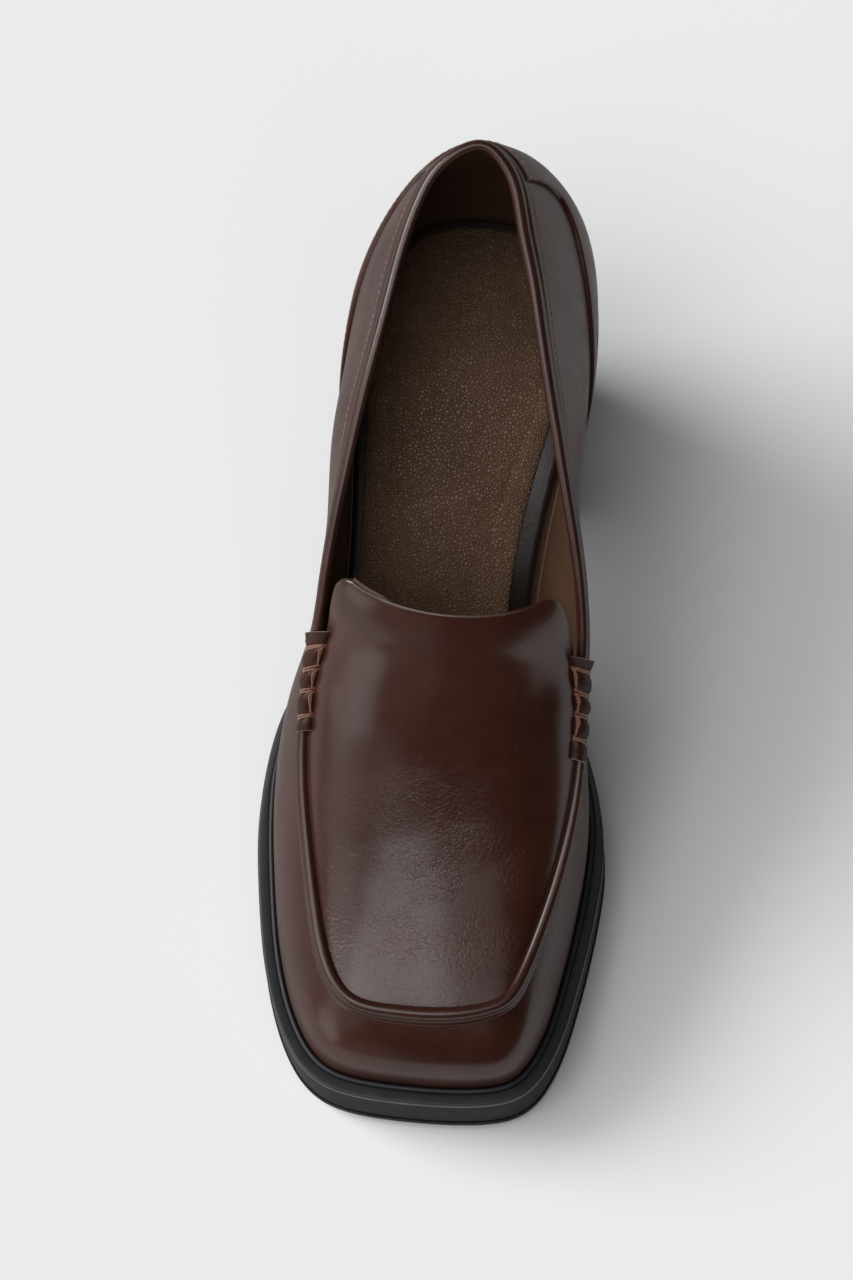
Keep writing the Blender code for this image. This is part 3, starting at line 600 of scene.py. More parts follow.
def crease_lines(tree, place):
    """A web of cells and long thin folds, strong where the toes bend and patchy all over."""
    near = node(tree, "ShaderNodeVectorMath", {0: place, 1: CREASE_SPOT}, operation="DISTANCE")
    mask = between(tree, near.outputs["Value"], 0.3 * CREASE_REACH, CREASE_REACH, 1.0, 0.12)
    patches = between(tree, noise(tree, place, 75.0, 2.0), 0.40, 0.58, 0.35, 1.0)
    mask = math_node(tree, "MULTIPLY", mask, patches)
    web = cell_edges(tree, warped(tree, place, 300.0, (0.0030, 0.0022, 0.0020)), 700.0, 0.16)
    folds = thin_lines(tree, place, 250.0, 0.05, 0.6)
    both = math_node(tree, "ADD", math_node(tree, "MULTIPLY", web, WEB_SHARE), folds)
    return math_node(tree, "MULTIPLY", math_node(tree, "MULTIPLY", both, mask), CREASE_HEIGHT)


def leather_finish(name, deep, bright, roughness, coat, shine, creased):
    """Waxed leather; at grazing angles it is rougher and loses the sharp gloss of its coat."""
    made, tree, shader, place = new_finish(name)
    facing = node(tree, "ShaderNodeLayerWeight", {"Blend": 0.5}).outputs["Facing"]
    gloss = noise(tree, place, 160.0, 4.0, 0.6)
    gloss = between(tree, gloss, 0.3, 0.7, roughness - 0.035, roughness + 0.045)
    rougher = between(tree, facing, 0.35, 0.75, 0.0, GRAZING_ROUGHNESS)
    pores = node(tree, "ShaderNodeTexVoronoi", {"Vector": place, "Scale": 1500.0}).outputs["Distance"]
    pores = math_node(tree, "MULTIPLY", between(tree, pores, 0.0, 0.35), PORE_SHARE)
    grain = math_node(tree, "MULTIPLY", noise(tree, place, 520.0, 5.0, 0.6), GRAIN_SHARE)
    height = math_node(tree, "ADD", pores, grain)
    if creased:
        height = math_node(tree, "ADD", height, crease_lines(tree, place))
    look = {
        "Base Color": tones(tree, place, (38.0, 4.0), deep, bright, 0.35, 0.65),
        "Roughness": math_node(tree, "ADD", gloss, rougher),
        "Specular IOR Level": shine,
        "Coat Weight": between(tree, facing, 0.25, 0.60, coat, 0.0),
        "Coat Roughness": WAX_ROUGHNESS,
        "Normal": bump(tree, height, LEATHER_BUMP),
    }
    fill(tree, shader, look)
    return made


LEATHERS = (
    # name, deep tone, bright tone, roughness, coat, shine, creased
    ("polished_leather", (0.0350, 0.0102, 0.0066), (0.0520, 0.0162, 0.0104), 0.23, 0.35, 0.33, True),
    ("rolled_leather", (0.0330, 0.0105, 0.0074), (0.0480, 0.0165, 0.0112), 0.25, 0.28, 0.33, False),
    ("side_roll_leather", (0.0280, 0.0100, 0.0072), (0.0420, 0.0155, 0.0110), 0.36, 0.05, 0.14, False),
)
polished_leather, rolled_leather, side_roll_leather = (leather_finish(*row) for row in LEATHERS)

# %% [markdown]
# ## The other finishes
# Inside, the lining is a matt tan split, the footbed is wrapped in dark glossy leather and the sock
# is a pebbled olive-brown leatherette. The sole is moulded black rubber, half matt. Each takes the
# same helper nodes with its own lumps, depth and gloss.


# %% Lining, footbed, sock, rubber, thread and cut edges
# Colour of the painted shade on the sock, in the valleys between its pebbles and at its heel end.
SOCK_SHADE_AND_WAX = (0.040, 0.019, 0.010)
# How far the valleys darken: painted shade where the grains shade them, partly wax that collects there.
VALLEY_SHADE_AND_WAX = 0.38
# Painted shade of the heel's walls: where the sock darkens towards its heel end, and by how much.
HEEL_SHADE_START, HEEL_SHADE_END, HEEL_SHADE = 0.062, 0.108, 0.62
THREAD_GLOSS = {"Roughness": 0.55, "Sheen Weight": 0.25}


def plain_finish(name, lumps, deep, bright, grain, depth, values, ends=(0.3, 0.7)):
    """Two tones, one size of grain as bump, and plain values for the shader's inputs."""
    made, tree, shader, place = new_finish(name)
    colour = tones(tree, place, lumps, deep, bright, *ends)
    fill(tree, shader, {**values, "Base Color": colour})
    fill(tree, shader, {"Normal": bump(tree, noise(tree, place, *grain), depth)})
    return made


def sock_finish():
    """Pebbled leatherette: round grains, dark valleys between them, painted shade at the heel."""
    made, tree, shader, place = new_finish("sock_leather")
    colour = tones(tree, place, (45.0, 5.0, 0.6), (0.150, 0.080, 0.043), (0.205, 0.115, 0.068))
    valleys = cell_edges(tree, warped(tree, place, 420.0, (0.0009, 0.0009, 0.0009)), 1050.0, 0.25)
    lengthwise = node(tree, "ShaderNodeSeparateXYZ", {"Vector": place}).outputs["Y"]
    # Painted shade: the sock's colour darkens towards its heel end, where the heel's walls shade it.
    painted_heel_shade = between(tree, lengthwise, HEEL_SHADE_START, HEEL_SHADE_END, 0.0, HEEL_SHADE)
    # Painted shade in the valleys between the pebbles, partly wax that collects there.
    valley_shade_and_wax = math_node(tree, "MULTIPLY", valleys, VALLEY_SHADE_AND_WAX)
    shade_and_wax = math_node(tree, "MAXIMUM", valley_shade_and_wax, painted_heel_shade)
    sunk = math_node(tree, "MULTIPLY", valleys, -0.75)
    height = math_node(tree, "ADD", sunk, noise(tree, place, 240.0, 4.0, 0.6))
    look = {
        "Base Color": mix_colours(tree, shade_and_wax, colour, SOCK_SHADE_AND_WAX),
        "Roughness": between(tree, valleys, 0.0, 1.0, 0.46, 0.62),
        "Specular IOR Level": 0.45,
        "Normal": bump(tree, height, 0.00034),
    }
    fill(tree, shader, look)
    return made


def rubber_finish(name, deep, bright, roughness, depth, shine):
    shown = {"Specular IOR Level": shine}
    made = plain_finish(name, (90.0, 5.0, 0.65), deep, bright, (2200.0, 3.0, 0.6), depth, shown)
    tree = made.node_tree
    gloss = noise(tree, tree.nodes["Texture Coordinate"].outputs["Object"], 240.0, 4.0, 0.6)
    gloss = between(tree, gloss, 0.3, 0.7, roughness - 0.05, roughness + 0.06)
    fill(tree, tree.nodes["Principled BSDF"], {"Roughness": gloss})
    return made


def thread_finish(name, deep, bright):
    grain = (4200.0, 3.0)
    return plain_finish(name, (1800.0, 3.0), deep, bright, grain, 0.00008, THREAD_GLOSS, (0.35, 0.65))


sock_leather = sock_finish()
lining_leather = plain_finish(
    "lining_leather",
    (60.0, 4.0),
    (0.070, 0.033, 0.015),
    (0.096, 0.047, 0.023),
    (1400.0, 4.0, 0.65),
    0.000072,
    {"Roughness": 0.62},
)
footbed_leather = plain_finish(
    "footbed_leather",
    (70.0, 3.0),
    (0.012, 0.0062, 0.0052),
    (0.019, 0.0098, 0.0080),
    (700.0, 4.0, 0.6),
    0.00006,
    {"Roughness": 0.30, "Coat Weight": 0.25, "Coat Roughness": 0.20},
)
RUBBERS = (
    # name, deep tone, bright tone, roughness, depth of the grain, shine
    ("welt_rubber", (0.0165, 0.0172, 0.0195), (0.0215, 0.0225, 0.0250), 0.42, 0.00004, 0.35),
    ("side_rubber", (0.0120, 0.0122, 0.0130), (0.0165, 0.0168, 0.0175), 0.65, 0.00006, 0.10),
    ("sole_edge_rubber", (0.0110, 0.0105, 0.0098), (0.0160, 0.0150, 0.0136), 0.70, 0.00009, 0.10),
    ("heel_tip_rubber", (0.0090, 0.0090, 0.0098), (0.0140, 0.0140, 0.0150), 0.65, 0.00008, 0.20),
)
welt_rubber, side_rubber, sole_edge_rubber, heel_tip_rubber = (rubber_finish(*row) for row in RUBBERS)
roll_thread = thread_finish("roll_thread", (0.125, 0.042, 0.020), (0.285, 0.112, 0.058))
seam_thread = thread_finish("seam_thread", (0.215, 0.092, 0.050), (0.400, 0.185, 0.105))
raw_edge = thread_finish("raw_edge", (0.200, 0.180, 0.155), (0.420, 0.400, 0.365))
print("finishes:", len(bpy.data.materials))

# %% [markdown]
# ## Meshes from rows of points
# A maker cuts and stretches flat leather; here each piece is a net of points laid on the last's
# surfaces. Points that fall together are welded first, then the faces are turned outwards.


# %% Helpers for meshes
def add_mesh(name, points, faces, finishes, sharp=50.0):
    mesh = bpy.data.meshes.new(name)
    mesh.from_pydata((np.asarray(points) + PLACE).tolist(), [], [tuple(map(int, f)) for f in faces])
    work = bmesh.new()
    work.from_mesh(mesh)
    bmesh.ops.remove_doubles(work, verts=work.verts, dist=0.001 * MM)
    bmesh.ops.recalc_face_normals(work, faces=work.faces)
    work.to_mesh(mesh)
    work.free()
    mesh.shade_smooth()
    mesh.set_sharp_from_angle(angle=math.radians(sharp))
    for finish in finishes if isinstance(finishes, list) else [finishes]:
        mesh.materials.append(finish)
    made = bpy.data.objects.new(name, mesh)
    bpy.context.scene.collection.objects.link(made)
    return made


def grid_faces(rows, columns, start=0, closed=False):
    faces = []
    for i in range(rows - 1):
        for j in range(columns if closed else columns - 1):
            k = (j + 1) % columns
            a, b = start + i * columns, start + (i + 1) * columns
            faces.append((a + j, a + k, b + k, b + j))
    return faces


def swept(name, rings, finish, closed=False, sharp=50.0):
    """A solid through a run of like rings, with capped ends unless the run is closed."""
    rings = np.asarray(rings)
    count, size = rings.shape[:2]
    faces = grid_faces(count, size, closed=True)
    if closed:
        last = (count - 1) * size
        faces += [(last + j, last + (j + 1) % size, (j + 1) % size, j) for j in range(size)]
    else:
        faces += [range(size), range(count * size - 1, (count - 1) * size - 1, -1)]
    return add_mesh(name, rings.reshape(-1, 3), faces, finish, sharp)


def stacked(name, levels, finish, sharp=50.0):
    """A solid through levels from top to bottom, each of stations with points from side to side."""
    levels = np.asarray(levels)
    depth, stations, columns = levels.shape[:3]
    index = np.arange(depth * stations * columns).reshape(depth, stations, columns)
    faces = []
    for level in (0, depth - 1):
        top = index[level]
        for i in range(stations - 1):
            for j in range(columns - 1):
                faces.append((top[i, j], top[i + 1, j], top[i + 1, j + 1], top[i, j + 1]))
    for level in range(depth - 1):
        a, b = index[level], index[level + 1]
        for j in (0, columns - 1):
            for i in range(stations - 1):
                faces.append((a[i, j], a[i + 1, j], b[i + 1, j], b[i, j]))
        for i in (0, stations - 1):
            for j in range(columns - 1):
                faces.append((a[i, j], a[i, j + 1], b[i, j + 1], b[i, j]))
    return add_mesh(name, levels.reshape(-1, 3), faces, finish, sharp)


def with_heights(plan, heights):
    """Plan points with their heights added."""
    return np.concatenate([plan, np.asarray(heights)[..., None]], axis=-1)


def rings_on_platform(rows, section):
    """Rings round the shoe; each of the section's points is an inset and a height on the platform."""
    rings = []
    for inset, height in section:
        plan, _ = outline_at(rows, inset)
        rings.append(with_heights(plan, platform_top(plan[:, 1]) + height))
    return np.stack(rings, axis=1)


def apply_modifiers(piece):
    """The piece's mesh with its modifiers worked in."""
    graph = bpy.context.evaluated_depsgraph_get()
    mesh = bpy.data.meshes.new_from_object(piece.evaluated_get(graph))
    piece.modifiers.clear()
    piece.data = mesh


def put_on_shoe(piece, nodes=()):
    """The piece rides on the shoe's one body and stands for its plain solids."""
    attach(piece, "root")
    if nodes:
        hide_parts(*nodes)
    print(piece.name, "faces:", len(piece.data.polygons))


# %% [markdown]
# ## Creases
# A loafer that stands new in the shop still has soft troughs where the leather was pulled over the
# last, and where the vamp gives above the toes. They are few and wide, so they are listed one by one:
# where, how long, how wide, which way, and how deep. A ridge is a trough with a depth below zero.

# %% Listed creases
CREASES = (
    # along, across, length, width, turn in degrees, depth in mm
    (0.770, 0.060, 0.130, 0.020, 8, 0.16),
    (0.748, -0.010, 0.160, 0.022, -6, 0.14),
    (0.722, 0.070, 0.170, 0.026, 12, 0.16),
    (0.795, -0.020, 0.120, 0.018, -10, 0.10),
    (0.760, 0.200, 0.080, 0.020, 35, 0.12),
    (0.760, -0.170, 0.080, 0.020, -32, 0.12),
    (0.690, 0.030, 0.200, 0.040, 4, -0.10),
    (0.650, -0.150, 0.110, 0.030, -40, 0.14),
    (0.650, 0.220, 0.110, 0.030, 42, 0.14),
    (0.600, -0.250, 0.060, 0.034, -70, 0.45),
    (0.590, 0.310, 0.060, 0.034, 70, 0.45),
    (0.560, 0.000, 0.220, 0.060, 0, 0.12),
)


def crease_depth(points):
    """How far the leather sinks at each point, from its place seen from above."""
    sink = np.zeros(points.shape[:-1])
    for along, across, length, width, turn, depth in CREASES:
        x = points[..., 0] - across * BALL_WIDTH
        y = points[..., 1] - y_of(along)
        c, s = math.cos(math.radians(turn)), math.sin(math.radians(turn))
        u, v = x * c + y * s, -x * s + y * c
        far = (u / (length * BALL_WIDTH)) ** 2 + (v / (width * BALL_WIDTH)) ** 2
        sink += depth * MM * np.exp(-far)
    return sink


print("creases:", len(CREASES))

# %% [markdown]
# ## The upper
# The real upper is a vamp, two quarters and an apron, closed into one skin and pulled over the last.
# So it is one net here too: the side wall in rows round the shoe, and the apron sewn to it along the
# seam by shared points. Above the notch the apron is free and stands up as the flap, whose edge bends
# in a little. Solidify gives the leather its thickness, and one subdivision rounds the flap's cut edge.

# %% Upper leather
NET_STEPS = 5
WALL_STEPS = 24
CURL_STEPS = 9
LEATHER = 1.1 * MM
LINING = 0.6 * MM
EDGE_ROLL, EDGE_ROLL_START = 0.45 * MM, 9.70
CREASE_FADE_ACROSS, CREASE_FADE_TOE = 6, 0.6


def skin_net(flap_reach=lambda across: 0.0):
    """The skin's points and faces; flap_reach lets the flap's edge out or in, in steps."""
    around = side_rows(-TOE_ROW, TOE_ROW, NET_STEPS)[:-1]
    shares = np.linspace(0, 1, WALL_STEPS + 1)
    wall = np.array([lasting_edge(around)] + [wall_at(around, s) for s in shares])
    faces = grid_faces(len(wall), len(around), closed=True)
    curl = np.sin(np.linspace(0, math.pi / 2, CURL_STEPS))[1:]
    steps = np.concatenate([side_rows(0, FLAP_CORNER_START, NET_STEPS), FLAP_CORNER_START + curl])
    across = np.linspace(-1, 1, 2 * (TOE_ROW - CORNER_ROW) * NET_STEPS + 1)
    grid_step, grid_across = np.meshgrid(steps, across, indexing="ij")
    grid_step = grid_step + flap_reach(grid_across) * np.clip(grid_step - FLAP_TOP + 2, 0, 2) / 2
    apron = apron_at(grid_step, grid_across)
    normal = unit(np.cross(np.gradient(apron, axis=1), np.gradient(apron, axis=0)))
    normal *= np.where(normal[..., 2:] < 0, -1, 1)
    off_seam = np.clip((1 - np.abs(grid_across)) * CREASE_FADE_ACROSS, 0, 1)
    free = off_seam * np.clip(grid_step / CREASE_FADE_TOE, 0, 1)
    near_edge = np.clip((grid_step - EDGE_ROLL_START) / (FLAP_TOP - EDGE_ROLL_START), 0, 1)
    apron = apron - normal * (crease_depth(apron) * free + EDGE_ROLL * near_edge**2)[..., None]
    faces += grid_faces(len(steps), len(across), start=wall.shape[0] * wall.shape[1])
    return np.concatenate([wall.reshape(-1, 3), apron.reshape(-1, 3)]), faces


def thicken(sheet, thickness):
    shell = sheet.modifiers.new("Wall", "SOLIDIFY")
    shell.thickness = thickness
    shell.offset = -1.0


def face_outwards(sheet):
    mesh = sheet.data
    centre = sum((v.co for v in mesh.vertices), Vector()) / len(mesh.vertices)
    away = sum((face.center - centre).dot(face.normal) * face.area for face in mesh.polygons)
    if away < 0:
        mesh.flip_normals()


upper = add_mesh("upper_leather", *skin_net(), polished_leather, sharp=180)
face_outwards(upper)
thicken(upper, LEATHER)
rounding = upper.modifiers.new("Round", "SUBSURF")
rounding.levels = rounding.render_levels = 1
apply_modifiers(upper)
put_on_shoe(upper, ["upper"])

# %% [markdown]
# ## The lining
# Behind the leather lies a thin tan lining, which shows inside the quarters and as a sliver at
# the corners of the flap. It is the same net, moved inwards by the leather's thickness, with its top
# edge let out a little at the flap's corners and cut back in the middle.

# %% Lining
LINING_REACH = (
    # across the flap from lateral to medial, steps past the leather's edge
    (-1.00, 0.085),
    (-0.70, 0.050),
    (-0.40, -0.060),
    (0.00, -0.200),
    (0.60, -0.140),
    (0.90, -0.010),
    (1.00, 0.030),
)


def lining_reach(across):
    places, reaches = zip(*LINING_REACH)
    return np.interp(across, places, reaches)


lining = add_mesh("upper_lining", *skin_net(lining_reach), lining_leather, sharp=180)
face_outwards(lining)
places = np.array([v.co for v in lining.data.vertices])
normals = np.array([v.normal for v in lining.data.vertices])
moved = places - normals * (LEATHER + 0.05 * MM)
lining.data.vertices.foreach_set("co", moved.ravel())
lining.data.update()
thicken(lining, LINING)
apply_modifiers(lining)
put_on_shoe(lining)

# %% [markdown]
# ## Strips that lie on the wall
# The piping, the binding and the heel counter all follow the wall. Each is a small cross section
# carried along its rows: how far below the rim a point lies, and how high it stands off the leather.


# %% A strip from its cross section
def strip_on_wall(name, rows, section, finish, closed=False):
    """section: rows of (distance below the rim, height off the wall) in mm, round the strip."""
    rings = []
    below, off = np.array(section).T * MM
    rim = wall_at(rows, 1.0)
    above = unit(rim - wall_at(rows, share_below_rim(rows, 1.0 * MM)))
    for distance, lift in zip(below, off):
        share = share_below_rim(rows, max(distance, 0.0))
        point = wall_at(rows, share) + wall_normal(rows, np.minimum(share, 0.97)) * lift
        rings.append(point + above * max(-distance, 0.0))
    return swept(name, np.stack(rings, axis=1), finish, closed=closed, sharp=60)


# %% [markdown]
# ## The apron piping
# Beside the apron runs a raised roll, where the vamp's edge is folded over a cord. On the apron's
# side it drops into a sharp dark crease. On the other side its fold ends in a thin line, the seam
# that holds it. Both are in one cross section.

# %% Apron piping
PIPING_SECTION = (
    # distance below the rim, height off the wall
    (0.05, -0.60),
    (-0.25, -0.10),
    (-0.46, 0.50),
    (-0.42, 1.05),
    (-0.10, 1.60),
    (0.50, 2.00),
    (1.20, 2.18),
    (1.90, 2.10),
    (2.50, 1.76),
    (2.98, 1.24),
    (3.30, 0.78),
    (3.56, 0.48),
    (3.95, 0.32),
    (4.45, 0.20),
    (4.80, 0.15),
    (4.88, 0.06),
    (4.93, -0.40),
)
piping_half = side_rows(ROLL_END_ROW - 0.12, TOE_ROW, 8)
piping_rows = np.concatenate([piping_half, 2 * TOE_ROW - piping_half[-2::-1]])
piping = strip_on_wall("piping_roll", piping_rows, PIPING_SECTION, rolled_leather)
put_on_shoe(piping, ["apron_piping"])

# %% [markdown]
# ## The collar binding
# The collar's edge is bound with a strip of the same leather, folded over a thin cord so that it
# stands as a round roll, with its two flat edges sewn down inside and outside. The cross section is
# given in the rim's own directions, outwards and upwards.

# %% Collar binding
BINDING_END_ROW = 10.02
BINDING_SECTION = (
    # outwards, upwards, in mm
    (0.42, -1.75),
    (0.60, -1.30),
    (0.60, 0.35),
    (0.46, 0.62),
    (0.62, 1.30),
    (0.66, 2.05),
    (0.48, 2.80),
    (0.05, 3.45),
    (-0.55, 3.82),
    (-1.15, 3.86),
    (-1.75, 3.60),
    (-2.22, 3.00),
    (-2.48, 2.25),
    (-2.48, 1.45),
    (-2.30, 0.70),
    (-2.42, 0.30),
    (-2.42, -1.20),
    (-2.20, -1.60),
    (-1.60, -1.60),
    (-1.00, -0.80),
    (-0.30, -1.75),
)
binding_rows = side_rows(-BINDING_END_ROW, BINDING_END_ROW, 10)
rim = wall_at(binding_rows, 1.0)
rim_ahead = unit(wall_at(binding_rows + 0.02, 1.0) - wall_at(binding_rows - 0.02, 1.0))
rim_up = rim - wall_at(binding_rows, 0.96)
rim_up = unit(rim_up - rim_ahead * np.sum(rim_up * rim_ahead, axis=-1, keepdims=True))
rim_out = np.cross(rim_up, rim_ahead)
binding_rings = [rim + rim_out * o * MM + rim_up * u * MM for o, u in BINDING_SECTION]
binding = swept("binding_roll", np.stack(binding_rings, axis=1), rolled_leather, sharp=70)
put_on_shoe(binding, ["collar_binding"])

# %% [markdown]
# ## The heel counter
# A second layer of leather wraps the heel, from the welt up to the binding, and its front edges
# sweep down and forward. It is a thin solid on the wall with a folded, rounded edge.

# %% Heel counter
COUNTER_STEPS = 8
COUNTER_EDGE = (
    # height off the wall in mm, share by which the edge folds in
    (-0.3, 0.0),
    (0.55, 0.0),
    (0.95, 0.012),
    (1.12, 0.035),
    (1.18, 0.08),
)
COUNTER_FACE, COUNTER_BACK = 1.20, -0.3
CORNER_FROM, CORNER_TO, CORNER_STATIONS = 1.66, 2.5, 43


def counter_top(rows):
    return monotone(*zip(*COUNTER_ROWS), np.abs(rows))


def on_wall(rows, share, lift):
    """Points on the wall, or off it by the lift, with their outward directions."""
    normal = wall_normal(rows, np.clip(share, 0.02, 0.96))
    return wall_at(rows, share) + normal * lift, normal


counter_last = COUNTER_ROWS[-1][0]
corner_rows = np.linspace(CORNER_FROM, CORNER_TO, CORNER_STATIONS)
counter_rows = side_rows(-counter_last, counter_last, COUNTER_STEPS)
counter_rows = np.unique(np.round(np.concatenate([-corner_rows, counter_rows, corner_rows]), 4))
counter_section = [(1 - fold, lift) for lift, fold in COUNTER_EDGE]
counter_section += [(inner, COUNTER_FACE) for inner in (*np.linspace(0.90, 0.02, 18), 0.0)]
counter_section += [(inner, COUNTER_BACK) for inner in np.linspace(0.0, 0.98, 20)]
top = counter_top(counter_rows)
counter_rings = [on_wall(counter_rows, top * share, lift * MM)[0] for share, lift in counter_section]
counter = swept("counter_leather", np.stack(counter_rings, axis=1), polished_leather, sharp=60)
put_on_shoe(counter, ["heel_counter"])

# %% [markdown]
# ## The side rolls
# On each side of the flap a short leather roll is bound over the seam with thick thread. Between the
# wraps the leather bulges, under them it is pulled in, and its cut end stands open round the
# binding. The roll is a dome carried along the seam, and its ends are hollow with a pale raw edge.

# %% Side rolls
ROLL_WIDTH = 6.0 * MM
ROLL_HEIGHT = 3.1 * MM
ROLL_INNER = 0.5
ROLL_FLATNESS = 0.65
ROLL_SUNK = 0.8 * MM
ROLL_STATIONS = 97
ROLL_COLUMNS = 7
ROLL_MOUTH_ROWS = {1: ROLL_START_ROW - 0.16, -1: ROLL_START_ROW - 0.26}
WRAP_PLACES = {1: (0.15, 0.385, 0.58, 0.81), -1: (0.188, 0.412, 0.618, 0.866)}
WRAP_PINCH = 0.38
WRAP_WIDTH = 0.050
TAIL_START, TAIL_NARROWER, TAIL_LOWER = 0.86, 0.10, 0.20
FLARE_LENGTH, MOUTH_FLARE, TAIL_FLARE = 0.07, 0.14, 0.10
CUT_EDGE = 0.84
CUT_EDGE_OUT = {"mouth": 0.15 * MM, "tail": 0.10 * MM}
HOLLOW_DEPTH = {"mouth": 2.0 * MM, "tail": 0.8 * MM}


def across_from_seam(step, side, distances):
    """Places on the apron that lie these distances inside its edge, one column for each."""
    spread = np.linspace(1, 0.7, 61)
    points = apron_at(step[:, None], side * spread)
    steps = np.linalg.norm(np.diff(points, axis=1), axis=-1)
    run = np.concatenate([np.zeros_like(steps[:, :1]), np.cumsum(steps, axis=1)], axis=1)
    return side * np.array([np.interp(distances, r, spread) for r in run])


def roll_shape(sign):
    """Ground points, outward directions and dome heights of one side roll, station by station."""
    reach = np.linspace(ROLL_MOUTH_ROWS[sign], ROLL_END_ROW - 0.05, ROLL_STATIONS)
    rows = sign * reach
    place = (reach - reach[0]) / (reach[-1] - reach[0])
    in_tail = np.clip((place - TAIL_START) / (1 - TAIL_START), 0, 1)
    inner_widths = ROLL_WIDTH * ROLL_INNER * np.linspace(1, 1 / ROLL_COLUMNS, ROLL_COLUMNS)
    inner = across_from_seam(CORNER_ROW - reach, sign, inner_widths)
    over_apron = apron_at((CORNER_ROW - reach)[:, None], inner)
    outer_widths = np.linspace(0, ROLL_WIDTH * (1 - ROLL_INNER), ROLL_COLUMNS + 1)
    slim = 1 - TAIL_NARROWER * in_tail
    shares = share_below_rim(rows[:, None], outer_widths[None, :] * slim[:, None])
    over_wall = wall_at(rows[:, None], shares)
    ground = np.concatenate([over_apron, over_wall], axis=1)
    ahead = wall_at(rows + 0.02 * sign, 1.0) - wall_at(rows - 0.02 * sign, 1.0)
    span = ground[:, -1] - ground[:, 0]
    outward = sign * unit(np.cross(ahead, span))
    flat = np.linspace(ground[:, 0], ground[:, -1], ground.shape[1], axis=1)
    ground = (1 - ROLL_FLATNESS) * ground + ROLL_FLATNESS * flat
    wraps = sum(np.exp(-(((place - p) / WRAP_WIDTH) ** 2)) for p in WRAP_PLACES[sign])
    flare = MOUTH_FLARE * np.clip(1 - place / FLARE_LENGTH, 0, 1)
    flare = flare + TAIL_FLARE * np.clip((place - 1 + FLARE_LENGTH) / FLARE_LENGTH, 0, 1)
    height = ROLL_HEIGHT * (1 - WRAP_PINCH * wraps + flare) * (1 - TAIL_LOWER * in_tail)
    return ground, outward, height, place


BARREL_LEAST, BARREL_MORE, BARREL_FROM, BARREL_OVER = 0.92, 0.16, 0.55, 0.5
DOME_FOOT, DOME_FULLNESS = 0.12, 0.9


def roll_surface(ground, outward, height, swell=0.0):
    """Top of the roll from the apron's side to the wall's, with a swell for a thread on it."""
    angle = np.linspace(math.pi, 0, ground.shape[1])
    middle = (ground[:, :1] + ground[:, -1:]) / 2
    half = (ground[:, -1:] - ground[:, :1]) / 2
    fullness = np.clip(height / ROLL_HEIGHT - BARREL_FROM, 0, BARREL_OVER) / BARREL_OVER
    barrel = BARREL_LEAST + BARREL_MORE * fullness
    side_push = np.cos(angle)[None, :, None] * half * barrel[:, None, None]
    dome = DOME_FOOT + (1 - DOME_FOOT) * np.sin(angle) ** DOME_FULLNESS
    lift = dome[None, :, None] * (height + swell)[:, None, None]
    return middle + side_push + outward[:, None] * lift


def build_side_roll(name, sign, cad_node):
    """One roll with hollow ends, whose cut edges get the pale finish."""
    ground, outward, height, _ = roll_shape(sign)
    over = roll_surface(ground, outward, height)
    under = ground - outward[:, None] * ROLL_SUNK
    rings = np.concatenate([under, over[:, ::-1]], axis=1)
    centre = rings.mean(axis=1, keepdims=True)
    ahead = unit(rings[1].mean(axis=0) - rings[0].mean(axis=0))
    edges, depths = {}, {}
    for end, i, inwards in (("mouth", 0, ahead), ("tail", -1, -ahead)):
        edges[end] = centre[i] + (rings[i] - centre[i]) * CUT_EDGE - inwards * CUT_EDGE_OUT[end]
        depths[end] = edges[end] + inwards * HOLLOW_DEPTH[end]
    every = np.concatenate(
        [[depths["mouth"], edges["mouth"]], rings, [edges["tail"], depths["tail"]]]
    )
    piece = swept(name, every, [side_roll_leather, raw_edge], sharp=55)
    on_edges = {tuple(np.round(p + PLACE, 6)) for k in (1, 2, -3, -2) for p in every[k]}
    cut = {v.index for v in piece.data.vertices if tuple(np.round(np.array(v.co), 6)) in on_edges}
    for face in piece.data.polygons:
        if cut.issuperset(face.vertices):
            face.material_index = 1
    length = np.linalg.norm(centre[-1] - centre[0])
    print(name, "length in mm:", round(float(length) / MM, 1))
    put_on_shoe(piece, [cad_node])


build_side_roll("roll_medial", 1, "side_roll_medial")
build_side_roll("roll_lateral", -1, "side_roll_lateral")

# %% [markdown]
# ## Thread on the side rolls
# Two strands of waxed thread cross the roll at each wrap, and between the wraps they run along the
# apron's side. A thread is two twisted plies: an oval cross section that turns as it follows
# its path. Geometry Nodes do that for any number of paths at once, from a mesh of bare edges.


# %% Tree that twists a thread along its paths
def tree_inputs(tree, *sockets):
    """Adds the tree's inputs and its one output, and returns the input node's outputs by name."""
    for name, kind, value in sockets:
        made = tree.interface.new_socket(name=name, in_out="INPUT", socket_type=kind)
        if value is not None:
            made.default_value = value
    tree.interface.new_socket(name="Geometry", in_out="OUTPUT", socket_type="NodeSocketGeometry")
    return node(tree, "NodeGroupInput").outputs


def end_tree(tree, geometry, finish):
    """Realizes what the tree made and gives it its finish."""
    real = node(tree, "GeometryNodeRealizeInstances", {"Geometry": geometry}).outputs[0]
    done = node(tree, "GeometryNodeSetMaterial", {"Geometry": real, "Material": finish}).outputs[0]
    node(tree, "NodeGroupOutput", {"Geometry": done})


def even_path(tree, geometry, spacing):
    """The guide's bare edges as curves, with points at this spacing."""
    path = node(tree, "GeometryNodeMeshToCurve", {"Mesh": geometry}).outputs[0]
    inputs = {"Curve": path, "Length": spacing}
    return node(tree, "GeometryNodeResampleCurve", inputs, mode="LENGTH").outputs[0]


THREAD_SPACING = 0.22 * MM
THREAD_OVAL = (1.0, 0.74, 1.0)


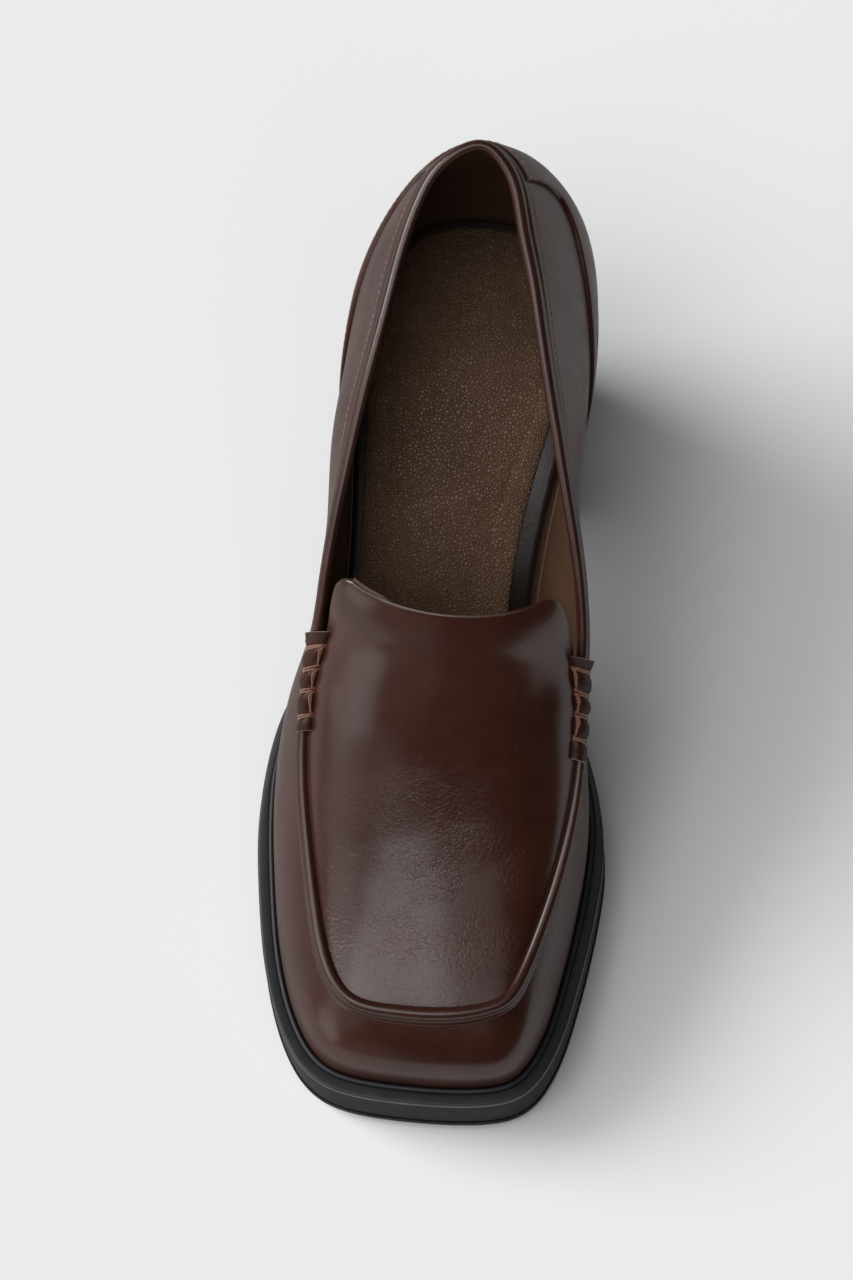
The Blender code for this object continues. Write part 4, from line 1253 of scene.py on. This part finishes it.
def twisted_thread_tree():
    tree = bpy.data.node_groups.new("twisted_thread", "GeometryNodeTree")
    given = tree_inputs(
        tree,
        ("Geometry", "NodeSocketGeometry", None),
        ("Thread Width", "NodeSocketFloat", 1.0 * MM),
        ("Twist", "NodeSocketFloat", 2000.0),
        ("Finish", "NodeSocketMaterial", None),
    )
    even = even_path(tree, given["Geometry"], THREAD_SPACING)
    length = node(tree, "GeometryNodeSplineParameter").outputs["Length"]
    turn = math_node(tree, "MULTIPLY", length, given["Twist"])
    turned = node(tree, "GeometryNodeSetCurveTilt", {"Curve": even, "Tilt": turn})
    half = math_node(tree, "MULTIPLY", given["Thread Width"], 0.5)
    ring = node(tree, "GeometryNodeCurvePrimitiveCircle", {"Resolution": 9, "Radius": half})
    parts = {"Geometry": ring.outputs[0], "Scale": THREAD_OVAL}
    oval = node(tree, "GeometryNodeTransform", parts)
    parts = {"Curve": turned.outputs[0], "Profile Curve": oval.outputs[0], "Fill Caps": True}
    tube = node(tree, "GeometryNodeCurveToMesh", parts)
    smooth = node(tree, "GeometryNodeSetShadeSmooth", {"Geometry": tube.outputs[0]})
    end_tree(tree, smooth.outputs[0], given["Finish"])
    return tree


def make_with_tree(name, tree, guide_mesh, values):
    """Runs a tree on a guide mesh and keeps only the plain mesh that it makes."""
    guide = bpy.data.objects.new(name + "_guide", guide_mesh)
    bpy.context.scene.collection.objects.link(guide)
    modifier = guide.modifiers.new("Tree", "NODES")
    modifier.node_group = tree
    sockets = {
        item.name: item.identifier
        for item in tree.interface.items_tree
        if item.item_type == "SOCKET" and item.in_out == "INPUT"
    }
    for key, value in values.items():
        modifier[sockets[key]] = value
    bpy.context.view_layer.update()
    graph = bpy.context.evaluated_depsgraph_get()
    mesh = bpy.data.meshes.new_from_object(guide.evaluated_get(graph))
    mesh.name = name
    bpy.data.objects.remove(guide, do_unlink=True)
    made = bpy.data.objects.new(name, mesh)
    bpy.context.scene.collection.objects.link(made)
    return made


def path_mesh(name, paths, normals=None):
    """A mesh of bare edges, one run of them for each path, with a direction kept on each point."""
    points, edges = [], []
    for path in paths:
        start = len(points)
        points.extend((np.asarray(path) + PLACE).tolist())
        edges.extend((start + i, start + i + 1) for i in range(len(path) - 1))
    mesh = bpy.data.meshes.new(name)
    mesh.from_pydata(points, edges, [])
    if normals is not None:
        kept = mesh.attributes.new("off_surface", "FLOAT_VECTOR", "POINT")
        kept.data.foreach_set("vector", np.concatenate(normals).astype(np.float32).ravel())
    return mesh


# %% Wraps and runs of thread
ROLL_THREAD = 0.64 * MM
STRAND_APART = 0.0125
STRAND_SLANT = 0.012
THREAD_LIFT = 0.42
THREAD_POINTS = 26
DIVE_SHARE, DIVE_DEPTH = 0.14, 1.1 * MM
RUN_CLEAR = 0.018
RUN_COLUMNS = (
    # column on the roll, sideways swing in columns
    (0.10, 0.0),
    (0.50, 0.35),
)
RUN_FULLNESS, RUN_LIFT, RUN_DIVE = 0.6, 0.30, 0.5


def thread_paths(sign):
    """Two strands over the roll at each wrap, and two runs beside it from wrap to wrap."""
    ground, outward, height, place = roll_shape(sign)
    surface = roll_surface(ground, outward, height, THREAD_LIFT * ROLL_THREAD)
    last = surface.shape[1] - 1
    stations = np.arange(len(place))

    def on_roll(at_place, at_column):
        at_station = np.interp(at_place, place, stations)
        low = np.clip(np.floor(at_station).astype(int), 0, len(place) - 2)
        share = (at_station - low)[..., None]
        left = np.clip(np.floor(at_column).astype(int), 0, last - 1)
        side = (np.asarray(at_column) - left)[..., None]
        row = surface[low, left] * (1 - side) + surface[low, left + 1] * side
        after = surface[low + 1, left] * (1 - side) + surface[low + 1, left + 1] * side
        return row * (1 - share) + after * share

    def outward_at(at_place):
        return outward[int(np.interp(at_place, place, stations))]

    paths = []
    t = np.linspace(0, 1, THREAD_POINTS)
    dive = np.clip(np.abs(t - 0.5) * 2 - 1 + DIVE_SHARE, 0, 1) / DIVE_SHARE
    bow = np.sin(math.pi * t) ** RUN_FULLNESS
    run_height = (RUN_LIFT * bow - RUN_DIVE * (1 - bow) ** 3) * MM
    for number, wrap in enumerate(WRAP_PLACES[sign]):
        for strand in (-1, 1):
            slant = STRAND_SLANT * math.sin(2.1 * number + strand)
            over = on_roll(wrap + strand * STRAND_APART + slant * (t - 0.5), t * last)
            paths.append(over - outward_at(wrap) * (dive**2 * DIVE_DEPTH)[:, None])
    for first_wrap, second_wrap in zip(WRAP_PLACES[sign], WRAP_PLACES[sign][1:]):
        first, second = first_wrap + RUN_CLEAR, second_wrap - RUN_CLEAR
        for column, swing in RUN_COLUMNS:
            run = on_roll(first + (second - first) * t, column + swing * np.sin(2 * math.pi * t))
            paths.append(run + outward_at((first + second) / 2) * run_height[:, None])
    return paths


thread_tree = twisted_thread_tree()
for side_name, sign in (("medial", 1), ("lateral", -1)):
    wraps = make_with_tree(
        "roll_threads_" + side_name,
        thread_tree,
        path_mesh("thread_paths", thread_paths(sign)),
        {"Thread Width": ROLL_THREAD, "Twist": 1500.0, "Finish": roll_thread},
    )
    put_on_shoe(wraps)

# %% [markdown]
# ## Rows of stitches
# Fine stitches hold the binding to the quarters and the counter to the heel. Every stitch is one
# small rounded grain set on a path, lying along it and flat on the leather. Placing some hundreds by
# hand would be slow, so a second tree measures the path, sets a stitch at every step and turns it.


# %% Tree that sets stitches along a path
def stitch_row_tree():
    tree = bpy.data.node_groups.new("stitch_row", "GeometryNodeTree")
    given = tree_inputs(
        tree,
        ("Geometry", "NodeSocketGeometry", None),
        ("Pitch", "NodeSocketFloat", 2.6 * MM),
        ("Stitch Length", "NodeSocketFloat", 2.0 * MM),
        ("Thread Width", "NodeSocketFloat", 0.5 * MM),
        ("Finish", "NodeSocketMaterial", None),
    )
    even = even_path(tree, given["Geometry"], given["Pitch"])
    name = {"Name": "off_surface"}
    off = node(tree, "GeometryNodeInputNamedAttribute", name, data_type="FLOAT_VECTOR").outputs[0]
    along = node(tree, "GeometryNodeInputTangent").outputs[0]
    stand = node(tree, "FunctionNodeAlignRotationToVector", {"Vector": off}, axis="Z").outputs[0]
    parts = {"Rotation": stand, "Vector": along}
    lie = node(tree, "FunctionNodeAlignRotationToVector", parts, axis="X", pivot_axis="Z")
    grain = node(tree, "GeometryNodeMeshUVSphere", {"Segments": 8, "Rings": 6, "Radius": 0.5})
    parts = {0: given["Stitch Length"], 1: given["Thread Width"], 2: given["Thread Width"]}
    size = node(tree, "ShaderNodeCombineXYZ", parts)
    parts = {"Geometry": grain.outputs[0], "Scale": size.outputs[0]}
    shaped = node(tree, "GeometryNodeTransform", parts)
    smooth = node(tree, "GeometryNodeSetShadeSmooth", {"Geometry": shaped.outputs[0]})
    parts = {"Points": even, "Instance": smooth.outputs[0], "Rotation": lie.outputs[0]}
    placed = node(tree, "GeometryNodeInstanceOnPoints", parts)
    end_tree(tree, placed.outputs[0], given["Finish"])
    return tree


stitch_tree = stitch_row_tree()


# %% Stitch rows on the quarters and the counter
BINDING_STITCH_DEPTH = 3.4 * MM
COUNTER_STITCH_LIFT = 1.14 * MM
COUNTER_STITCH_INSIDE = 1.5 * MM
COUNTER_STITCH_START, COUNTER_STITCH_END, COUNTER_STITCH_POINTS = 1.81, 5.6, 160
BINDING_STITCH_ROWS = (
    # first row, last row, lift: on the lateral quarter, the counter and the medial quarter
    (-9.7, -1.95, 0.0),
    (-1.68, 1.68, COUNTER_STITCH_LIFT),
    (1.95, 9.7, 0.0),
)
STITCH_SIZES = {"Pitch": 2.1 * MM, "Stitch Length": 1.5 * MM, "Thread Width": 0.32 * MM}


def dots(first, second):
    """Dot products, point by point."""
    return np.sum(first * second, axis=1)


def counter_edge_path(sign, inside):
    """A path that runs beside the counter's front edge, this far inside it."""
    rows = sign * np.linspace(COUNTER_STITCH_START, COUNTER_STITCH_END, COUNTER_STITCH_POINTS)
    edge = wall_at(rows, counter_top(rows))
    ahead = unit(np.gradient(edge, axis=0))
    normal = wall_normal(rows, np.clip(counter_top(rows), 0.02, 0.96))
    target = edge + unit(np.cross(normal, ahead)) * sign * inside
    fine_rows, shares = np.abs(rows), counter_top(rows)
    for _ in range(6):
        here = wall_at(sign * fine_rows, shares)
        d_row = (wall_at(sign * (fine_rows + 0.01), shares) - here) / 0.01
        d_share = (wall_at(sign * fine_rows, shares + 0.005) - here) / 0.005
        a, b, c = dots(d_row, d_row), dots(d_row, d_share), dots(d_share, d_share)
        e, f = dots(d_row, target - here), dots(d_share, target - here)
        det = a * c - b * b
        fine_rows = fine_rows + np.clip((c * e - b * f) / det, -0.3, 0.3)
        shares = np.clip(shares + np.clip((a * f - b * e) / det, -0.1, 0.1), 0.01, 0.97)
    return on_wall(sign * fine_rows, shares, COUNTER_STITCH_LIFT)


stitch_paths = []
for first, last, lift in BINDING_STITCH_ROWS:
    path_rows = side_rows(first, last, 12)
    stitch_paths.append(on_wall(path_rows, share_below_rim(path_rows, BINDING_STITCH_DEPTH), lift))
stitch_paths += [counter_edge_path(sign, COUNTER_STITCH_INSIDE) for sign in (1, -1)]
stitches = make_with_tree(
    "quarter_stitches",
    stitch_tree,
    path_mesh("stitch_paths", *zip(*stitch_paths)),
    {**STITCH_SIZES, "Finish": seam_thread},
)
put_on_shoe(stitches)

# %% [markdown]
# ## The welt
# A flat ledge of rubber frames the upper, and a narrow glossy bead stands up on its inner side,
# against the leather. One cross section goes all the way round. At the heel the ledge is thin, so
# the bead shrinks with it.

# %% Welt with its bead
EDGE_ROUND = 0.6 * MM
BEAD_WIDTH = 1.7 * MM
BEAD_FROM, BEAD_FULL_BY = 2.2 * MM, 1.5 * MM
BEAD_FOOT = (
    # place inwards as a share of the bead's width, height over the ledge as a share of its rise
    (1.25, 0.00),
    (1.06, -0.10),
    (0.99, -0.34),
    (0.95, 0.10),
)
WELT_STEPS = 8
WELT_BED = GAP - 0.05 * MM
welt_rows = side_rows(-TOE_ROW, TOE_ROW, WELT_STEPS)[:-1]
ledge = ledge_at(welt_rows)
inner = ledge - 0.1 * MM
fullness = np.clip((ledge - BEAD_FROM) / BEAD_FULL_BY, 0.15, 1)
bead = BEAD_WIDTH * fullness
rise = (BEAD_HEIGHT - WELT_HEIGHT) * fullness
section = [(0.0, 0.0)]
section += [
    (EDGE_ROUND * (1 - math.cos(a)), WELT_HEIGHT - EDGE_ROUND * (1 - math.sin(a)))
    for a in np.radians((0, 22, 45, 68, 90))
]
section += [(inner - share * bead, WELT_HEIGHT + up * rise) for share, up in BEAD_FOOT]
section += [
    (inner - bead * (0.5 + 0.46 * math.cos(a)), WELT_HEIGHT + rise * math.sin(a))
    for a in np.radians((20, 40, 65, 90, 115, 140, 160))
]
section += [(inner, WELT_HEIGHT - 0.4 * rise), (inner, 0.0)]
welt_section = [(np.minimum(inset, inner), WELT_BED + height) for inset, height in section]
welt_rings = rings_on_platform(welt_rows, welt_section)
welt = swept("welt_rubber", welt_rings, welt_rubber, closed=True, sharp=40)
put_on_shoe(welt, ["welt"])


# %% [markdown]
# ## The sole unit
# Platform, outsole, heel block and heel tip are moulded rubber. They are stacks of outlines, the
# same as the plain solids but with finer steps and rounded edges. The outsole's ground face
# gets shallow grooves across the forefoot, because a sole without a tread would slip.


# %% Levels of the sole
def values_at(given, places):
    """One value for each place, from a plain number or from a function."""
    return given(places) if callable(given) else np.full(np.shape(places), given)


def plan_levels(rows, level_rows, columns=2):
    """Levels of a stack between the outline's two sides, from (inset, surface, height over it)."""
    levels = []
    for inset, surface, more in level_rows:
        sides = [outline_at(rows * sign, values_at(inset, rows * sign))[0] for sign in (1, -1)]
        spread = np.linspace(*sides, columns, axis=1)
        levels.append(with_heights(spread, surface(spread[..., 1]) + more))
    return levels


def outsole_top(y):
    return tread(y) + OUTSOLE_THICKNESS


SOLE_STEPS = 8
sole_rows = side_rows(0, TOE_ROW, SOLE_STEPS)
SIDE_GROOVE = 0.45 * MM
PLATFORM_LEVELS = (
    # inset, surface, height over it
    (0.35 * MM, platform_top, 0.24 * MM),
    (0.0, platform_top, -0.10 * MM),
    (0.0, outsole_top, 2.2 * MM),
    (0.0, outsole_top, 1.0 * MM),
    (0.25 * MM, outsole_top, 0.35 * MM),
    (SIDE_GROOVE, outsole_top, 0.05 * MM),
)
platform = stacked("platform_rubber", plan_levels(sole_rows, PLATFORM_LEVELS), side_rubber, 35)
put_on_shoe(platform, ["platform"])

# %% Outsole with grooves across its ground face
GROOVE_DEPTH = 0.9 * MM
GROOVE_PITCH = 5.0 * MM
GROOVE_START, GROOVE_END = 0.60, 0.93
GROOVE_BORDER = 0.78
GROOVE_FROM, GROOVE_SLOPE = 0.62, 0.2
GROUND_STATIONS, GROUND_COLUMNS = 420, 25


def grooved_tread(points):
    """The sole's underside with grooves that stop short of its edge."""
    y = points[..., 1]
    along = along_of(y)
    across = np.abs(np.linspace(-1, 1, points.shape[-2]))
    inside = (along > GROOVE_START) & (along < GROOVE_END) & (across < GROOVE_BORDER)
    wave = 0.5 + 0.5 * np.cos(2 * math.pi * y / GROOVE_PITCH)
    cut = GROOVE_DEPTH * np.clip((wave - GROOVE_FROM) / GROOVE_SLOPE, 0, 1)
    return tread(y) + np.where(inside, cut, 0.0)


OUTSOLE_LEVELS = (
    (-OUTSOLE_LIP, outsole_top, 0.0),
    (-OUTSOLE_LIP, tread, 1.2 * MM),
    (0.05 * MM, tread, 0.55 * MM),
    (0.45 * MM, tread, 0.15 * MM),
    (1.0 * MM, tread, 0.0),
)
ground_rows = np.linspace(BREAST_ROW + 0.1, TOE_ROW, GROUND_STATIONS)
outsole_levels = plan_levels(ground_rows, OUTSOLE_LEVELS, GROUND_COLUMNS)
outsole_levels[-1][..., 2] = grooved_tread(outsole_levels[-1])
outsole = stacked("outsole_rubber", outsole_levels, sole_edge_rubber, 35)
put_on_shoe(outsole, ["outsole"])

# %% Heel block and heel tip
HEEL_CENTRE = np.array([0.037 * BALL_WIDTH, y_of(0.13)])
HEEL_TAPER_CURVE = 0.8
HEEL_FOOT = HEEL_TIP_THICKNESS + 0.1 * MM
TIP_LEVELS = (
    # height, inset
    (HEEL_TIP_THICKNESS, 0.3 * MM),
    (HEEL_TIP_THICKNESS - 0.4 * MM, 0.0),
    (0.6 * MM, 0.0),
    (0.15 * MM, 0.25 * MM),
    (0.0, 0.6 * MM),
)


def heel_level(rows, height, inset=0.0):
    """The heel's outline at one height, narrowing from the seat towards the ground."""
    sides = []
    for sign in (1, -1):
        plan, _ = outline_at(rows * sign, np.full(rows.shape, HEEL_INSET + inset))
        level = values_at(height, plan[:, 1])
        down = np.clip(1 - level / (SEAT_HEIGHT - SHANK_THICKNESS), 0, 1)
        narrow = (1 - (1 - HEEL_TAPER) * down**HEEL_TAPER_CURVE)[:, None]
        plan = HEEL_CENTRE + (plan - HEEL_CENTRE) * narrow
        plan[:, 1] -= HEEL_BACK_RAKE * down
        sides.append(with_heights(plan, level))
    return np.stack(sides, axis=1)


heel_rows = side_rows(0, BREAST_ROW, 2 * SOLE_STEPS)
heel_levels = [heel_level(heel_rows, outsole_top)]
heel_levels += [
    heel_level(heel_rows, lambda y, s=share: HEEL_FOOT + s * (outsole_top(y) - HEEL_FOOT))
    for share in np.linspace(0.95, 0.02, 22)
]
heel_levels.append(heel_level(heel_rows, HEEL_FOOT, 0.35 * MM))
heel_block = stacked("heel_rubber", heel_levels, side_rubber, 35)
put_on_shoe(heel_block, ["heel_block"])
tip_levels = [heel_level(heel_rows, height, inset) for height, inset in TIP_LEVELS]
heel_tip = stacked("heel_tip_wear", tip_levels, heel_tip_rubber, 35)
put_on_shoe(heel_tip, ["heel_tip"])

# %% [markdown]
# ## The footbed and its sock
# The insole board is wrapped in dark leather that shows as a glossy strip round the sock. The sock is
# a thin foam pad under pebbled leatherette. A cloth simulation blows up cushions well, but this pad
# is thinner than the smallest voxel that such a remesh can hold, so its soft crown and its rolled
# edge are moved into the net.


# %% Insole
INSOLE_EDGE = 1.5 * MM
INSOLE_COLUMN, SOCK_COLUMN = 1, 3
SIDE_BLEND_ROWS = 4


def inside_upper(column, more):
    """Inset of a piece inside the upper's foot, from its columns in the table of inside rows."""
    rows, medials, laterals = (list(zip(*INSIDE_ROWS))[i] for i in (0, column, column + 1))

    def inset(row):
        medial, lateral = (monotone(rows, side, np.abs(row)) for side in (medials, laterals))
        blend = np.clip(0.5 + row / SIDE_BLEND_ROWS, 0, 1)
        near_toe = np.clip(0.5 + np.sign(row) * (TOE_ROW - np.abs(row)) / SIDE_BLEND_ROWS, 0, 1)
        blend = np.where(np.abs(row) > TOE_ROW / 2, near_toe, blend)
        room = medial * blend + lateral * (1 - blend)
        return ledge_at(row) + UPPER_WALL + room * SOCK_MARGIN + more

    return inset


def insole_top(y):
    return platform_top(y) + GAP + INSOLE_THICKNESS


insole_levels = []
for a in np.radians((0, 22, 45, 68, 90)):
    inset = inside_upper(INSOLE_COLUMN, INSOLE_EDGE * (1 - math.sin(a)))
    insole_levels.append((inset, insole_top, -INSOLE_EDGE * (1 - math.cos(a))))
insole_levels.append((inside_upper(INSOLE_COLUMN, 0.0), platform_top, GAP))
insole = stacked("insole_wrap", plan_levels(sole_rows, insole_levels), footbed_leather, 40)
put_on_shoe(insole, ["insole"])

# %% Foot of the lining
FOOT_RISE = 2.4 * MM
FOOT_SECTION = (
    # share of the way to the insole, distance on top of it in mm, share of the rise
    (0.00, 0.0, 1.00),
    (0.00, 0.8, 1.00),
    (0.35, 0.5, 0.45),
    (0.70, 0.0, 0.26),
    (1.00, 0.0, 0.22),
    (1.00, 0.0, 0.08),
    (0.00, 0.0, 0.08),
)
foot_rows = side_rows(-TOE_ROW, TOE_ROW, SOLE_STEPS)[:-1]
foot_back = ledge_at(foot_rows) + LEATHER + 0.2 * MM
foot_front = inside_upper(INSOLE_COLUMN, 0.0)(foot_rows) + 0.4 * MM
foot_section = [
    (foot_back + share * (foot_front - foot_back) + more * MM, up * FOOT_RISE)
    for share, more, up in FOOT_SECTION
]
foot_rings = rings_on_platform(foot_rows, foot_section)
foot = swept("lining_foot", foot_rings, lining_leather, closed=True, sharp=70)
put_on_shoe(foot)

# %% Sock, a thin pad
SOCK_COLUMNS = 65
SOCK_CROWN = 0.55 * MM
SOCK_ROLL = 1.0 * MM
SOCK_EDGE_DROP, SOCK_EDGE_START = 0.35 * MM, 0.95
HEEL_HOLLOW = 0.5 * MM
HEEL_HOLLOW_PLACE, HEEL_HOLLOW_SIZE = (3 * MM, 86 * MM), 24 * MM
WAVE_HEIGHT, WAVE_ACROSS, WAVE_ALONG, WAVE_SHIFT = 0.10 * MM, 7 * MM, 11 * MM, 1.3
CHANNEL_WIDTH = 0.9 * MM
CHANNEL_RIM = 0.45
MEDIAL_CHANNEL = (
    # along, share of the sock margin inside the edge, depth as a share of the sock's thickness
    (0.08, 0.50, 0.00),
    (0.17, 0.55, 0.12),
    (0.25, 0.64, 0.26),
    (0.31, 0.84, 0.34),
    (0.36, 1.02, 0.30),
    (0.40, 1.10, 0.00),
)
LATERAL_CHANNEL = (
    (0.10, 0.70, 0.00),
    (0.20, 0.72, 0.12),
    (0.28, 0.80, 0.18),
    (0.34, 0.92, 0.16),
    (0.40, 1.00, 0.00),
)


def sock_channels(points):
    """Soft channels along both edges, which sink towards the arch and fade out before the flap."""
    along = along_of(points[..., 1])
    across = np.linspace(-1, 1, points.shape[-2])
    half = np.linalg.norm(points[:, 0, :2] - points[:, -1, :2], axis=-1) / 2
    from_edge = (1 - np.abs(across)) * half[:, None]
    sink = np.zeros(along.shape)
    for on_side, rows in ((across < 0, MEDIAL_CHANNEL), (across > 0, LATERAL_CHANNEL)):
        alongs, insides, depths = zip(*rows)
        miss = from_edge - monotone(alongs, insides, along) * SOCK_MARGIN
        depth = monotone(alongs, depths, along) * SOCK_THICKNESS
        dip = np.exp(-((miss / CHANNEL_WIDTH) ** 2))
        rim = np.exp(-(((miss + 2.0 * CHANNEL_WIDTH) / (1.1 * CHANNEL_WIDTH)) ** 2))
        sink += np.where(on_side, depth * (dip - CHANNEL_RIM * rim), 0.0)
    return sink


def sock_height(points):
    """The pad's top: a low crown, channels near the edges, and the foot's faint hollows."""
    x, y = points[..., 0], points[..., 1]
    across = np.linspace(-1, 1, points.shape[-2])
    crown = SOCK_CROWN * (1 - across**2)
    near_edge = np.clip((np.abs(across) - SOCK_EDGE_START) / (1 - SOCK_EDGE_START), 0, 1)
    from_heel = np.linalg.norm(points[..., :2] - np.array(HEEL_HOLLOW_PLACE), axis=-1)
    heel = HEEL_HOLLOW * np.exp(-((from_heel / HEEL_HOLLOW_SIZE) ** 2))
    waves = WAVE_HEIGHT * np.sin(x / WAVE_ACROSS + WAVE_SHIFT) * np.sin(y / WAVE_ALONG)
    top = insole_top(y) + GAP + SOCK_THICKNESS - 0.1 * MM
    return top + crown - SOCK_EDGE_DROP * near_edge**2 - heel + waves - sock_channels(points)


sock_rows = side_rows(0, TOE_ROW, 10)
SOCK_LEVELS = (
    # inset, height over the insole, or for the first two how far below the pad's own top
    (SOCK_ROLL * 0.9, 0.0),
    (SOCK_ROLL * 0.35, 0.35 * MM),
    (0.0, 0.9 * MM),
    (0.1 * MM, 0.1 * MM),
)
level_rows = [(inside_upper(SOCK_COLUMN, inset), insole_top, more) for inset, more in SOCK_LEVELS]
sock_levels = plan_levels(sock_rows, level_rows, SOCK_COLUMNS)
for level, (_, lower) in zip(sock_levels, SOCK_LEVELS[:2]):
    level[..., 2] = sock_height(level) - lower
sock = stacked("sock_pad", sock_levels, sock_leather, 60)
put_on_shoe(sock, ["sock"])

# %% [markdown]
# ## Floor and light
# The shoe stands on a plain pale floor. The light is that of a white studio: very large soft panels
# in front of it and on its left, the brightest at half height on the left, and a dark room behind.
# Area lights could do it, but a panel that large is the same as a soft patch of bright sky, so
# the world's background is painted by direction, which also keeps the floor evenly lit.

# %% Floor
FLOOR_SIZE = 3.0
floor_mesh = bpy.data.meshes.new("floor")
corners = [(x * FLOOR_SIZE, y * FLOOR_SIZE, 0) for x, y in ((-1, -1), (1, -1), (1, 1), (-1, 1))]
floor_mesh.from_pydata(corners, [], [(0, 1, 2, 3)])
floor = bpy.data.objects.new("floor", floor_mesh)
bpy.context.scene.collection.objects.link(floor)
paper, paper_tree, paper_shader, paper_place = new_finish("pale_paper")
pale = tones(paper_tree, paper_place, (3.0, 3.0), (0.885, 0.885, 0.875), (0.905, 0.905, 0.895))
fill(paper_tree, paper_shader, {"Base Color": pale, "Roughness": 0.9, "Specular IOR Level": 0.1})
floor_mesh.materials.append(paper)

# %% Light painted by direction
SOFT_PANELS = (
    # compass angle from +X, height angle, half width in degrees, strength
    (180, 64, 15, 2.1),
    (240, 64, 15, 2.6),
    (300, 64, 15, 0.8),
    (270, 86, 13, 0.6),
    (165, 38, 14, 9.0),
    (195, 38, 14, 1.2),
    (225, 38, 14, 0.4),
    (180, 9, 14, 0.5),
    (215, 9, 14, 1.6),
    (250, 9, 14, 0.25),
)
PANEL_SOFT_OUT, PANEL_SOFT_IN = 5, 3
DIM_ROOM = 0.01


def panel_glow(tree, direction, compass, height, half_width):
    """1 inside a round panel on the sky and 0 outside it, with a soft rim."""
    a, e = math.radians(compass), math.radians(height)
    aim = (math.cos(e) * math.cos(a), math.cos(e) * math.sin(a), math.sin(e))
    facing = node(tree, "ShaderNodeVectorMath", {0: direction, 1: aim}, operation="DOT_PRODUCT")
    outer = math.cos(math.radians(half_width + PANEL_SOFT_OUT))
    inner = math.cos(math.radians(half_width - PANEL_SOFT_IN))
    sizes = {"Value": facing.outputs["Value"], "From Min": outer, "From Max": inner}
    return node(tree, "ShaderNodeMapRange", sizes, interpolation_type="SMOOTHSTEP").outputs[0]


room = bpy.data.worlds.new("white_studio")
room.use_nodes = True
bpy.context.scene.world = room
sky = room.node_tree
view_direction = node(sky, "ShaderNodeTexCoord").outputs["Generated"]
strength = DIM_ROOM
for compass, height, half_width, power in SOFT_PANELS:
    glow = panel_glow(sky, view_direction, compass, height, half_width)
    strength = math_node(sky, "ADD", math_node(sky, "MULTIPLY", glow, power), strength)
light = {"Color": (0.985, 0.995, 1.0, 1.0), "Strength": strength}
fill(sky, sky.nodes["Background"], light)
bpy.context.scene.view_settings.view_transform = "Standard"
